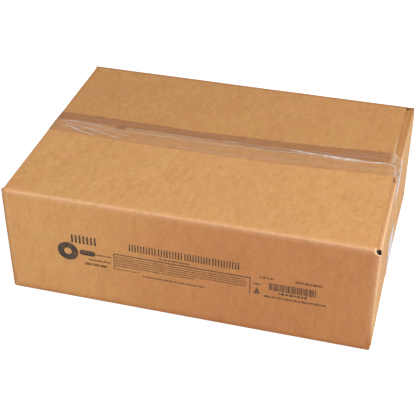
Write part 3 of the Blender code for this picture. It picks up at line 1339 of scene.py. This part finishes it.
@dataclass(frozen=True)
class TornHole:
    """The hole that wear has torn through the top front right corner, with its centre measured from there."""

    form: CartonForm
    centre: Point = (-0.0021, 0.0024, -0.0031)
    reach: Point = (0.0029, 0.0045, 0.0036)
    lumps: float = 0.35
    lump_grain: float = 0.5
    least_share: float = 0.9

    def cut(self, board: bpy.types.Object, torn: bpy.types.Material) -> None:
        """Cuts the hole through the board with a lumpy cutter.

        Args:
            board: The carton's board.
            torn: Finish of the hole's sides, nearly black as painted shade.
        """
        corner = Vector((self.form.length / 2, -self.form.width / 2, self.form.height))
        bm = bmesh.new()
        bmesh.ops.create_icosphere(bm, subdivisions=3, radius=1.0)
        for vert in bm.verts:
            vert.co *= 1 + self.lumps * noise.noise(vert.co / self.lump_grain)
            vert.co = Vector(vert.co[axis] * self.reach[axis] for axis in range(3))
        bmesh.ops.translate(bm, vec=corner + Vector(self.centre), verts=bm.verts)
        mesh = bpy.data.meshes.new("torn_hole_cutter")
        bm.to_mesh(mesh)
        bm.free()
        mesh.materials.append(torn)
        cutter = bpy.data.objects.new("torn_hole_cutter", mesh)
        bpy.context.scene.collection.objects.link(cutter)
        cutter.hide_render = True
        cutter.display_type = "WIRE"
        cut = board.modifiers.new("torn_hole", "BOOLEAN")
        cut.operation = "DIFFERENCE"
        cut.object = cutter
        cut.solver = "EXACT"
        cut.material_mode = "TRANSFER"
        if not self.leaves_board(board):
            board.modifiers.remove(cut)
            LOG.warning("%s: left whole, because the cut would empty it", board.name)

    def leaves_board(self, board: bpy.types.Object) -> bool:
        """Whether the board still has nearly all of its faces once it is cut."""
        cut_board = board.evaluated_get(bpy.context.evaluated_depsgraph_get())
        return len(cut_board.data.polygons) > self.least_share * len(board.data.polygons)


@dataclass(frozen=True)
class Crease:
    """A crease that stands in the film, along a way over the flaps, pale with a partly painted glare, or a
    dark mark of painted shadow.
    """

    way: tuple[Place, ...]
    width: float = 0.0013
    height: float = 0.0005
    # How pale a crease is with its partly painted glare, and how dark a painted shadow is.
    white: float = 0.6
    dark: float = 0.0


def in_millimetres(*points: Place) -> tuple[Place, ...]:
    """Turns places given in millimetres into metres."""
    return tuple((x * MM, y * MM) for x, y in points)


def laid_creases(*rows: tuple) -> tuple[Crease, ...]:
    """Makes creases from rows that hold a way in millimetres and a crease's other values in their order."""
    return tuple(Crease(in_millimetres(*way), *values) for way, *values in rows)


# Creases pale with a partly painted glare; rows with a fifth value are painted shadows.
TOP_CREASES = laid_creases(
    (((-207, 3.2), (-196, 5.9), (-176, 7.0), (-168, 5.2), (-154, 0.9)), 0.0016, 0.0006, 0.8),
    (((-206, 2.2), (-184, 2.0), (-165, -1.0), (-150, -4.6)), 0.0014, 0.0004, 0.3),
    (((-201, 0.3), (-184, -3.5), (-166, -6.4), (-147, -11.6), (-123, -18.7)), 0.0017, 0.0006, 0.85),
    (((-199, -5.5), (-189, -8.4), (-178, -13.1), (-163, -17.4), (-156.5, -20.8)), 0.0019, 0.0008, 0.95),
    (((-190, -8.0), (-183, -11.0), (-175, -13.8)), 0.0030, 0.0006, 0.8),
    (((-192, 7.4), (-181, 8.2), (-166, 7.0), (-150, 4.6)), 0.0013, 0.0003, 0.45),
    (((-172, -4.6), (-158, -5.2), (-140, -8.0)), 0.0013, 0.0003, 0.45),
    (((-176, 7.0), (-150, 3.4), (-132, -1.0), (-118, -1.8)), 0.0017, 0.0004, 0.45),
    (((-146.5, -3.4), (-132, -5.3), (-115, -9.6)), 0.0019, 0.0005, 0.7),
    (((-204, 4.0), (-190, 4.0), (-160, 2.0)), 0.0060, 0.0002, 0.2),
    (((-196, -2), (-176, -7), (-150, -13)), 0.0075, 0.0002, 0.12),
    (((-128, -1.4), (-107, -1.0), (-58, 0.8), (-38, -1.4), (1.6, 0.2)), 0.0020, 0.0004, 0.5),
    (((1.6, 0.2), (21, 2.3), (53, 4.0), (84, 5.0), (112, 5.8)), 0.0019, 0.0004, 0.55),
    (((-122, 7.4), (-72, 7.6), (-53, 8.1), (-38, 7.6), (1.6, 9.7)), 0.0018, 0.0004, 0.45),
    (((-96, 4.2), (-60, 4.4), (-20, 4.4), (12, 6.0)), 0.0024, 0.0003, 0.22),
    (((1.6, 9.7), (53, 10.3), (81, 11.2), (100, 10.0)), 0.0018, 0.0004, 0.65),
    (((87, 9.8), (110, 8.3), (128, 7.4)), 0.0034, 0.0007, 0.95),
    (((129, 6.4), (150, 5.2), (171, 4.3)), 0.0056, 0.0010, 1.1),
    (((169, 4.0), (185, 4.9), (199, 6.3), (207, 5.1), (212, 1.7)), 0.0020, 0.0008, 1.1),
    (((112, 13.4), (135, 12.4), (162, 14), (189.5, 16.2)), 0.0018, 0.0004, 0.5),
    (((150, 20.5), (176, 21.4), (204, 24)), 0.0016, 0.0003, 0.3),
    (((-120, 18), (-60, 16.5), (-10, 18), (60, 20)), 0.0022, 0.0002, 0.16),
    (((-190, 15), (-150, 17), (-120, 14.5)), 0.0026, 0.0002, 0.2),
    (((60, -14), (120, -12), (190, -9)), 0.0024, 0.0002, 0.22),
    (((-60, -18), (0, -18.5), (60, -17.5)), 0.0030, 0.0002, 0.22),
    # Painted highlights where the film bends over the flap ends.
    (((208.6, 40), (208.6, 20), (208.9, 9)), 0.0018, 0.0002, 0.7),
    (((212.2, 2), (213.2, -6), (213.6, -17)), 0.0020, 0.0002, 0.8),
    # Painted shadows under the film, on the top only.
    (((53, 3.5), (110, 2.8)), 0.0018, 0.0, 0.0, 0.45),
    (((-132, 5.0), (-127.5, 6.0)), 0.0080, 0.0, 0.0, 0.55),
    (((-128, 10.6), (-90, 11.0), (-50, 11.0), (0, 12.2)), 0.0018, 0.0, 0.0, 0.3),
    (((23, 9), (23, 24)), 0.0050, 0.0, 0.0, 0.12),
    (((-217.8, 12), (-217.8, -13)), 0.0060, 0.0, 0.0, 0.85),
    (((-213, 10), (-213, -13)), 0.0120, 0.0, 0.0, 0.2),
    (((217.9, 5), (217.9, 0)), 0.0028, 0.0, 0.0, 0.9),
    (((217.9, 19), (217.9, 15)), 0.0020, 0.0, 0.0, 0.5),
)

TOP_EDGES = (
    in_millimetres(
        (-219, -19.8), (-206, -20.0), (-156, -21.3), (-77, -22.9), (2, -22.7), (41, -22.1), (81, -21.5),
        (140, -20.4), (180, -19.2), (209, -17.7), (219, -17.4),
    ),
    in_millimetres(
        (-219, 25.4), (-196, 25.6), (-137, 25.7), (-77, 25.0), (-38, 23.4), (2, 25.2), (61, 27.4),
        (100, 28.2), (140, 29.4), (180, 31.6), (200, 32.5), (219, 33.2),
    ),
)

BOTTOM_EDGES = (
    in_millimetres((-219, -26.9), (-60, -24.8), (60, -23.6), (219, -21.4)),
    in_millimetres((-219, 23.9), (-60, 25.7), (60, 27.2), (219, 29.4)),
)


@dataclass(frozen=True)
class TapeBand:
    """A band of clear tape round the carton's middle, with a tail on each end wall.

    Its edges are two ways along the carton, the front one first.
    """

    form: CartonForm
    name: str
    level: Level
    edges: tuple[tuple[Place, ...], tuple[Place, ...]]
    tail: float
    creases: tuple[Crease, ...] = ()
    strips: int = 92
    gap: float = 0.00016
    film: float = 0.00008
    along_step: float = 0.0013
    looseness: float = 0.00016
    tooth: float = 0.0024
    tooth_depth: float = 0.0008
    turn_steps: int = 7
    gap_steps: int = 6
    swell_grain: Point = (0.060, 0.007, 0.030)
    ragged_grain: Point = (0.009, 0.004, 0.02)
    # The upper tail's painted reflection lies under a slanting line and is faint above it.
    reflection_drop: float = 0.0020
    slant: float = 0.0280
    thin_reflection: float = 0.15
    front_bond: float = 0.3
    seam_loss: float = 0.2
    loose_loss: float = 0.85
    mark_depths: Span = (0.0120, 0.0060)
    seam_reach: Span = (0.0060, 0.0025)
    loose_reach: Span = (0.0190, 0.0100)
    gap_reach: Span = (0.0105, 0.0085)
    gap_glare: float = 0.12
    tail_reach: Span = (0.0030, 0.0018)

    def across(self, x: float) -> np.ndarray:
        """Every strip's place across the carton, where the film passes x."""
        front, back = (np.interp(x, *np.array(edge).T) for edge in self.edges)
        return np.linspace(front, back, self.strips)

    def wall(self, end: End, y: np.ndarray, height: np.ndarray) -> np.ndarray:
        """How far an end wall stands out along X.

        Args:
            end: Which end wall.
            y: Places across the carton.
            height: Heights over the middle.

        Returns:
            The distances from the middle.
        """
        x = np.full_like(y, end.value * self.form.length / 2)
        places = np.stack([x, y, self.form.middle + height], axis=1)
        outward = np.tile([float(end.value), 0.0, 0.0], (len(y), 1))
        return np.abs(self.form.displaced(places, outward)[:, 0])

    def flap(self, x: np.ndarray, y: np.ndarray) -> np.ndarray:
        """How far the major flaps' outer face stands over or under the middle.

        Args:
            x: Places along the carton.
            y: Places across it.

        Returns:
            The distances from the middle.
        """
        z = np.full_like(x, self.form.middle + self.level.value * self.form.middle)
        places = np.stack([x, y, z], axis=1)
        outward = np.tile([0.0, 0.0, float(self.level.value)], (len(x), 1))
        return np.abs(self.form.displaced(places, outward)[:, 2] - self.form.middle)

    def short(self, end: End, y: np.ndarray) -> np.ndarray:
        """How far from the end wall the major flap under the film stops.

        Args:
            end: Which end wall.
            y: Places across the carton.

        Returns:
            The distances.
        """
        form = self.form
        if self.level is Level.BOTTOM or end is End.LEFT:
            return np.full_like(y, form.other_short)
        back = ease(y, form.seam_y - 0.002, form.seam_y + 0.003)
        return form.front_short + (form.back_short - form.front_short) * back

    def end_route(self, end: End, y: np.ndarray) -> list[tuple[np.ndarray, np.ndarray]]:
        """The film's way at one end, from the tail's cut to the end of the major flaps.

        Args:
            end: Which end.
            y: The strips of film.

        Returns:
            For each station along the way, each strip's distance along X and height over the middle.
        """
        centre_x = self.form.length / 2 - self.form.fold
        centre_z = self.form.minor_top - self.form.fold
        reach = self.form.fold + self.gap
        corner_x = self.form.length / 2 - self.short(end, y) + self.gap
        corner_z = self.flap(end.value * corner_x, y) + self.gap
        beside, above = corner_x - centre_x, corner_z - centre_z
        leaves = np.arctan2(above, beside) - np.arccos(np.minimum(1, reach / np.hypot(beside, above)))
        teeth = self.tooth_depth * np.abs(((y / self.tooth) % 1) * 2 - 1)
        sink = centre_x + self.form.fold - self.wall(end, y, np.full_like(y, centre_z))
        route = []
        for share in np.linspace(0, 1, math.ceil(self.tail / self.along_step)):
            height = centre_z - (self.tail - teeth) * (1 - share)
            route.append((self.wall(end, y, height) + self.gap, height))
        for share in np.linspace(0, 1, self.turn_steps)[1:]:
            turn = leaves * share
            route.append((centre_x + (reach - sink) * np.cos(turn), centre_z + reach * np.sin(turn)))
        start_x, start_z = route[-1]
        for share in np.linspace(0, 1, self.gap_steps)[1:]:
            route.append((start_x + (corner_x - start_x) * share, start_z + (corner_z - start_z) * share))
        return [(end.value * x, height) for x, height in route]

    def places(self) -> np.ndarray:
        """The film's inner face.

        Returns:
            Its places, as stations along it by strips across it.
        """
        half = self.form.length / 2
        left_y, right_y = self.across(-half), self.across(half)
        left = self.end_route(End.LEFT, left_y)
        right = self.end_route(End.RIGHT, right_y)[::-1]
        rows = []
        for x, height in left:
            rows.append(np.stack([x, left_y, height], axis=1))
        runs = math.ceil(self.form.length / self.along_step)
        for share in np.linspace(0, 1, runs)[1:-1]:
            x = left[-1][0] * (1 - share) + right[0][0] * share
            y = self.across(-half + 2 * half * share)
            rows.append(np.stack([x, y, self.flap(x, y) + self.gap], axis=1))
        for x, height in right:
            rows.append(np.stack([x, right_y, height], axis=1))
        grid = np.array(rows)
        grid[..., 2] = self.form.middle + self.level.value * grid[..., 2]
        return grid

    def tail_reflection(self, flat: np.ndarray) -> np.ndarray:
        """How white a tail's film is with a painted reflection: all of the lower film's, and the upper one's
        under a slanting line.

        Args:
            flat: The film's points as rows.

        Returns:
            A share for each point.
        """
        if self.level is Level.BOTTOM:
            return np.ones(len(flat))
        front, back = (edge[-1][1] for edge in self.edges)
        forward = np.clip((back - flat[:, 1]) / (back - front), 0, 1)
        line = self.form.height - self.reflection_drop - self.slant * forward
        return self.thin_reflection + (1 - self.thin_reflection) * ease(flat[:, 2], line + 0.003, line - 0.003)

    def masks(self, flat: np.ndarray) -> dict[str, np.ndarray]:
        """How the film lies at each point.

        Args:
            flat: The film's points as rows.

        Returns:
            How high it stands off the board, how pale its creases are with their painted glare, how dark its
            painted shadows are, how fast it is there, and how white the tails are with a painted reflection.
        """
        x, y, z = flat.T
        half = self.form.length / 2
        seam_y = self.form.seam_y
        rise = self.looseness * (0.5 + 0.5 * unevenness(flat, self.swell_grain))
        wrinkle_and_glare = np.zeros(len(flat))
        dark = np.zeros(len(flat))
        ragged = np.clip(0.75 + 0.5 * unevenness(flat, self.ragged_grain), 0, 1.2)
        near_fold = ease(z, *(self.form.height - depth for depth in self.mark_depths))
        for crease in self.creases:
            profile = np.exp(-((distance_to_way(flat[:, :2], crease.way) / (crease.width / 2)) ** 2))
            rise = rise + crease.height * profile
            wrinkle_and_glare = np.maximum(wrinkle_and_glare, crease.white * profile * ragged)
            # Painted shadow, on the top only.
            dark = np.maximum(dark, crease.dark * profile * ragged * near_fold)
        over_seam = ease(np.abs(y - seam_y), *self.seam_reach)
        behind_seam = ease(y, seam_y, seam_y + 0.0035)
        bond = self.front_bond + (1 - self.front_bond) * behind_seam - self.seam_loss * over_seam
        bond = bond * (1 - self.loose_loss * ease(x, *(half - reach for reach in self.loose_reach)))
        if self.level is Level.TOP:
            # Painted glare where the film spans the step at the right flap ends.
            over_gap = ease(x, *(half - reach for reach in self.gap_reach))
            wrinkle_and_glare = np.maximum(wrinkle_and_glare, self.gap_glare * ragged * over_gap)
        # Painted reflection on the tails.
        tail = self.tail_reflection(flat) * ease(np.abs(x), *(half - reach for reach in self.tail_reach))
        return {"rise": rise, "wrinkle_and_glare": wrinkle_and_glare, "dark": dark, "bond": np.clip(bond, 0, 1), "tail": tail}

    def build(self, finish: bpy.types.Material) -> bpy.types.Object:
        """Lays the film round the carton.

        Args:
            finish: The film's material.

        Returns:
            The film.
        """
        grid = self.places()
        rows, columns = grid.shape[:2]
        along = np.gradient(grid, axis=0)
        across = np.gradient(grid, axis=1)
        outward = np.cross(along, across) * self.level.value
        outward /= np.linalg.norm(outward, axis=2)[..., None]
        flat = grid.reshape(-1, 3)
        masks = self.masks(flat)
        flat = flat + outward.reshape(-1, 3) * masks.pop("rise")[:, None]
        numbers = np.arange(rows * columns).reshape(rows, columns)
        rings = np.stack([numbers[:-1, :-1], numbers[1:, :-1], numbers[1:, 1:], numbers[:-1, 1:]], axis=2)
        if self.level is Level.BOTTOM:
            rings = rings[..., ::-1]
        mesh = bpy.data.meshes.new(self.name)
        mesh.from_pydata(flat.tolist(), [], rings.reshape(-1, 4).tolist())
        for label, values in masks.items():
            mesh.attributes.new(label, "FLOAT", "POINT").data.foreach_set("value", values.astype(np.float32))
        band = new_object(self.name, mesh, (finish,))
        thickness = band.modifiers.new("film", "SOLIDIFY")
        thickness.thickness = self.film
        thickness.offset = 1
        return band


PRINT_STEP = 6.0

STARVED_PRINT = {"print_panel", "print_notes"}


@dataclass(frozen=True)
class Patch:
    """One field of ink on the front wall: a grid of places in x and z, in rows and columns."""

    grid: np.ndarray


def block(left: float, right: float, low: float, high: float) -> Patch:
    """A filled rectangle.

    Args:
        left: Its left edge, in millimetres like the other edges.
        right: Its right edge.
        low: Its lower edge.
        high: Its upper edge.

    Returns:
        The patch, divided finely enough to follow the wall.
    """
    x = stations([left, right], PRINT_STEP)
    z = stations([low, high], PRINT_STEP)
    return Patch(np.array([[(a, b) for a in x] for b in z]) * MM)


def ring(centre: Place, outer: float, inner: float, sides: int = 72) -> Patch:
    """A ring between two radii, in millimetres.

    Args:
        centre: Its centre.
        outer: The outer radius.
        inner: The inner radius.
        sides: How many pieces go round it.

    Returns:
        The patch.
    """
    turns = np.linspace(0, math.tau, sides + 1)
    radii = np.linspace(inner, outer, 4)
    rows = [[(centre[0] + r * math.cos(t), centre[1] - r * math.sin(t)) for t in turns] for r in radii]
    return Patch(np.array(rows) * MM)


def pill(left: float, right: float, low: float, high: float) -> Patch:
    """A bar with rounded ends, in millimetres.

    Args:
        left: Its left end.
        right: Its right end.
        low: Its lower edge.
        high: Its upper edge.

    Returns:
        The patch.
    """
    radius = (high - low) / 2
    middle = (high + low) / 2
    x = np.concatenate([
        left + radius * (1 - np.cos(np.linspace(0.15, math.pi / 2, 7))),
        stations([left + radius, right - radius], PRINT_STEP)[1:-1],
        right - radius * (1 - np.cos(np.linspace(math.pi / 2, 0.15, 7))),
    ])
    inset = np.maximum(np.maximum(left + radius - x, x - right + radius), 0)
    half = np.sqrt(radius**2 - inset**2)
    rows = [[(a, middle + share * h) for a, h in zip(x, half)] for share in (-1, 0, 1)]
    return Patch(np.array(rows) * MM)


def wedge(left: float, right: float, low: float, high: float) -> Patch:
    """A triangle that stands on its base, in millimetres.

    Args:
        left: The base's left end.
        right: The base's right end.
        low: The base's height.
        high: The tip's height, which is cut off a little under it.

    Returns:
        The patch.
    """
    middle = (left + right) / 2
    rows = []
    for share in np.linspace(0, 0.97, 5):
        half = (right - left) / 2 * (1 - share)
        level = low + (high - low) * share
        rows.append([(middle - half, level), (middle + half, level)])
    return Patch(np.array(rows) * MM)


def comb(left: float, right: float, low: float, high: float, pitch: float, stroke: float) -> list[Patch]:
    """Even upright bars from left to right, in millimetres."""
    count = max(1, round((right - left - stroke) / pitch)) + 1
    return [block(x, x + stroke, low, high) for x in np.linspace(left, right - stroke, count)]


def dashes(left: float, right: float, middle: float, height: float, first: int, gap: float) -> list[Patch]:
    """A row of short lines of uneven length that stands for one line of small print, in millimetres.

    Args:
        left: Where the row starts.
        right: Where it stops.
        middle: How high it lies.
        height: How thick it is.
        first: Which of the lengths comes first.
        gap: The gap between two dashes.

    Returns:
        The patches.
    """
    lengths = (3.4, 1.9, 4.6, 2.5, 1.4, 3.9, 2.9, 5.2, 1.7, 3.1, 2.2)
    made = []
    start = left
    number = first
    while start < right - 0.6:
        end = min(right, start + lengths[number % len(lengths)])
        made.append(block(start, end, middle - height / 2, middle + height / 2))
        start = end + gap
        number += 1
    return made


def uneven_bars(left: float, right: float, low: float, high: float) -> list[Patch]:
    """Upright bars of uneven width and spacing, in millimetres.

    Args:
        left: Where the first one starts.
        right: Where the last one has to stop.
        low: Their lower end.
        high: Their upper end.

    Returns:
        The patches.
    """
    made = []
    start = left
    for number in range(40):
        stroke = (0.6, 1.5, 0.7, 1.1)[(number * number + number // 3) % 4]
        if start + stroke > right:
            break
        made.append(block(start, start + stroke, low, high))
        start += stroke + (0.7, 1.2, 0.6)[(number * 5 + number // 4) % 3]
    return made


@dataclass(frozen=True)
class PrintPlate:
    """All print of one group, laid on the front wall as a thin coat of ink."""

    form: CartonForm
    name: str
    patches: tuple[Patch, ...]
    gap: float = 0.00007
    coat: float = 0.00003

    def build(self, ink: bpy.types.Material) -> bpy.types.Object:
        """Lays the print on the wall.

        Args:
            ink: Its finish.

        Returns:
            The print.
        """
        places = []
        faces = []
        for patch in self.patches:
            rows, columns = patch.grid.shape[:2]
            numbers = np.arange(rows * columns).reshape(rows, columns) + sum(len(part) for part in places)
            places.append(patch.grid.reshape(-1, 2))
            rings = np.stack([numbers[:-1, :-1], numbers[:-1, 1:], numbers[1:, 1:], numbers[1:, :-1]], axis=2)
            faces.extend(rings.reshape(-1, 4).tolist())
        x, z = np.concatenate(places).T
        flat = np.stack([x, np.full_like(x, -self.form.width / 2), z], axis=1)
        outward = np.tile([0.0, -1.0, 0.0], (len(flat), 1))
        laid = self.form.displaced(flat, outward) + outward * self.gap
        mesh = bpy.data.meshes.new(self.name)
        mesh.from_pydata(laid.tolist(), [], faces)
        print_piece = new_object(self.name, mesh, (ink,))
        weld = print_piece.modifiers.new("joined", "WELD")
        weld.merge_threshold = 0.00001
        thickness = print_piece.modifiers.new("coat", "SOLIDIFY")
        thickness.thickness = self.coat
        thickness.offset = 1
        return print_piece


def print_groups() -> dict[str, tuple[Patch, ...]]:
    """The front wall's print as fields of colour and simple shapes, where the real one has its groups.

    Returns:
        Each group's patches by its name.
    """
    emblem = [ring((-141.5, 70.8), 12.8, 4.8), pill(-127.0, -107.0, 68.6, 76.0)]
    code = comb(-136.0, -105.5, 84.8, 96.3, 4.4, 2.3)
    words = [(-65.0, -33.0), (-30.0, -2.0), (1.2, 31.2), (33.8, 64.7)]
    heading = [patch for left, right in words for patch in comb(left, right, 86.3, 96.4, 3.3, 1.35)]
    ruled = ((-84.7, 78.2, 77.6, 78.9), (-84.8, -83.9, 55.5, 77.6), (77.4, 78.3, 55.5, 77.6))
    lines = [block(*edges) for edges in ruled]
    panel = []
    for row in range(4):
        panel += dashes(-82.9, 73.5 + (row % 3) - 1, 74.6 - 3.17 * row, 1.5, 3 * row, 0.6)
    panel += dashes(-82.9, 11.5, 61.8, 1.5, 5, 0.6)
    panel += dashes(-82.9, -53.6, 56.6, 1.3, 2, 0.9)
    panel += dashes(-50.0, 24.5, 52.3, 2.1, 6, 0.8)
    notes = dashes(-29.0, 8.3, 82.2, 2.4, 3, 0.9)
    notes += dashes(-106.0, -87.0, 72.0, 2.1, 1, 0.8) + dashes(-117.0, -88.5, 63.6, 2.6, 4, 0.9)
    notes += [block(left, left + 8.4, 55.0, 58.6) for left in (-121.0, -111.4, -101.9)]
    notes += dashes(89.0, 106.6, 81.6, 3.0, 8, 1.6) + dashes(129.3, 158.9, 82.4, 3.1, 2, 0.8)
    notes += dashes(81.4, 90.3, 71.2, 2.6, 1, 0.8) + [wedge(81.8, 89.8, 57.0, 66.6)]
    notes += dashes(94.4, 165.3, 55.4, 2.7, 7, 0.9)
    bars = uneven_bars(99.6, 154.0, 65.2, 75.6) + dashes(110.7, 143.2, 62.2, 2.6, 4, 1.3)
    names = ("emblem", "code", "heading", "panel", "notes", "bars", "lines")
    groups = zip(names, (emblem, code, heading, panel, notes, bars, lines))
    return {f"print_{name}": tuple(patches) for name, patches in groups}


@dataclass(frozen=True)
class Studio:
    """White sweep, soft lights and the camera, all outside the part."""

    floor_size: float = 9.0
    floor_drop: float = 0.0003
    floor_shade: float = 0.75
    floor_glow: float = 0.7
    camera_place: Point = (0.27698, -1.03716, 0.81911)
    camera_looks: Point = (-0.22049, 0.78294, -0.58171)
    camera_roll: float = math.radians(-0.214)
    lens: float = 90.0
    ambient: float = 0.45
    mirrored: float = 0.9
    backdrop: float = 1.05
    lit_point: Point = (0.0, 0.0, 0.07)

    def build_world(self) -> None:
        """A white surrounding that lights the part softly and shows as plain white."""
        world = bpy.data.worlds.new("white_room")
        world.use_nodes = True
        tree = ShaderTree(world.node_tree)
        background = world.node_tree.nodes["Background"]
        path = tree.node("ShaderNodeLightPath").outputs
        tree.feed(background.inputs["Color"], (1.0, 1.0, 1.0))
        lit = tree.math("MULTIPLY_ADD", path["Is Glossy Ray"], self.mirrored - self.ambient, self.ambient)
        seen = tree.math("MULTIPLY_ADD", path["Is Camera Ray"], self.backdrop - self.ambient, lit)
        tree.feed(background.inputs["Strength"], seen)
        bpy.context.scene.world = world

    def build_floor(self) -> None:
        """Lays a wide white floor."""
        bm = bmesh.new()
        bmesh.ops.create_grid(bm, x_segments=12, y_segments=12, size=self.floor_size / 2)
        bmesh.ops.translate(bm, vec=(0, 0, -self.floor_drop), verts=bm.verts)
        mesh = bpy.data.meshes.new("studio_floor")
        bm.to_mesh(mesh)
        bm.free()
        material, tree, shader = new_material("white_paper_floor")
        shader.inputs["Base Color"].default_value = (*[self.floor_shade] * 3, 1.0)
        shader.inputs["Roughness"].default_value = 0.9
        shader.inputs["Specular IOR Level"].default_value = 0.1
        seen = tree.node("ShaderNodeLightPath").outputs["Is Camera Ray"]
        shader.inputs["Emission Color"].default_value = (1.0, 1.0, 1.0, 1.0)
        tree.feed(shader.inputs["Emission Strength"], tree.math("MULTIPLY", seen, self.floor_glow))
        floor = new_object("studio_floor", mesh, (material,))

    def add_light(self, name: str, place: Point, size: float, power: float) -> None:
        """Adds a square soft light that faces the carton.

        Args:
            name: The light's name.
            place: Where it hangs.
            size: Its side.
            power: Its power in watts.
        """
        data = bpy.data.lights.new(name, "AREA")
        data.shape = "SQUARE"
        data.size = size
        data.energy = power
        light = bpy.data.objects.new(name, data)
        light.location = place
        aim = Vector(self.lit_point) - Vector(place)
        light.rotation_euler = aim.to_track_quat("-Z", "Y").to_euler()
        bpy.context.scene.collection.objects.link(light)

    def build_camera(self) -> None:
        """The camera that stands where the photograph was taken from."""
        data = bpy.data.cameras.new("camera")
        data.lens = self.lens
        data.sensor_width = 36.0
        camera = bpy.data.objects.new("camera", data)
        camera.location = self.camera_place
        aim = Vector(self.camera_looks).to_track_quat("-Z", "Y").to_matrix()
        camera.rotation_euler = (aim @ Matrix.Rotation(self.camera_roll, 3, "Z")).to_euler()
        bpy.context.scene.collection.objects.link(camera)
        bpy.context.scene.camera = camera

    def build(self) -> None:
        """Sets up the whole studio."""
        self.build_world()
        self.build_floor()
        self.build_camera()
        self.add_light("key", (1.4, -0.68, 1.55), 1.1, 34.0)
        self.add_light("fill", (-0.55, -0.75, 0.35), 0.5, 1.5)
        view = bpy.context.scene.view_settings
        view.view_transform = "Standard"
        view.look = "None"


def main() -> None:
    """Builds the studio and the dressed carton."""
    logging.basicConfig(level=logging.INFO, format="%(message)s")
    Studio().build()
    form = CartonForm.from_frame()
    groups = EffectGroups()
    liner = KraftLiner("kraft_liner").build(form, groups)
    raw = RawBoard("raw_board", screen_colour(134, 94, 64), screen_colour(188, 144, 104)).build(groups)
    film = ClearFilm("clear_film").build(groups)

    board = CartonBlank(form).build(liner, raw)
    # Painted shade: the torn hole's sides are nearly black, as the shade deep inside the hole.
    inside = RawBoard("hole_shade_board", screen_colour(8, 4, 2), screen_colour(26, 15, 8)).build(groups)
    TornHole(form).cut(board, inside)
    hand_over(board, ["carton"])

    top = TapeBand(form, "top_film", Level.TOP, TOP_EDGES, 0.0340, TOP_CREASES)
    hand_over(top.build(film), ["tape_top"])
    bottom = TapeBand(form, "bottom_film", Level.BOTTOM, BOTTOM_EDGES, 0.0475, along_step=0.0025, strips=44)
    hand_over(bottom.build(film), ["tape_bottom"])
    full_ink = PrintInk("brown_black_ink").build(groups)
    starved_ink = PrintInk("thin_brown_ink", 0.28).build(groups)
    for name, patches in print_groups().items():
        ink = starved_ink if name in STARVED_PRINT else full_ink
        hand_over(PrintPlate(form, name, patches).build(ink))


if __name__ == "__main__":
    main()
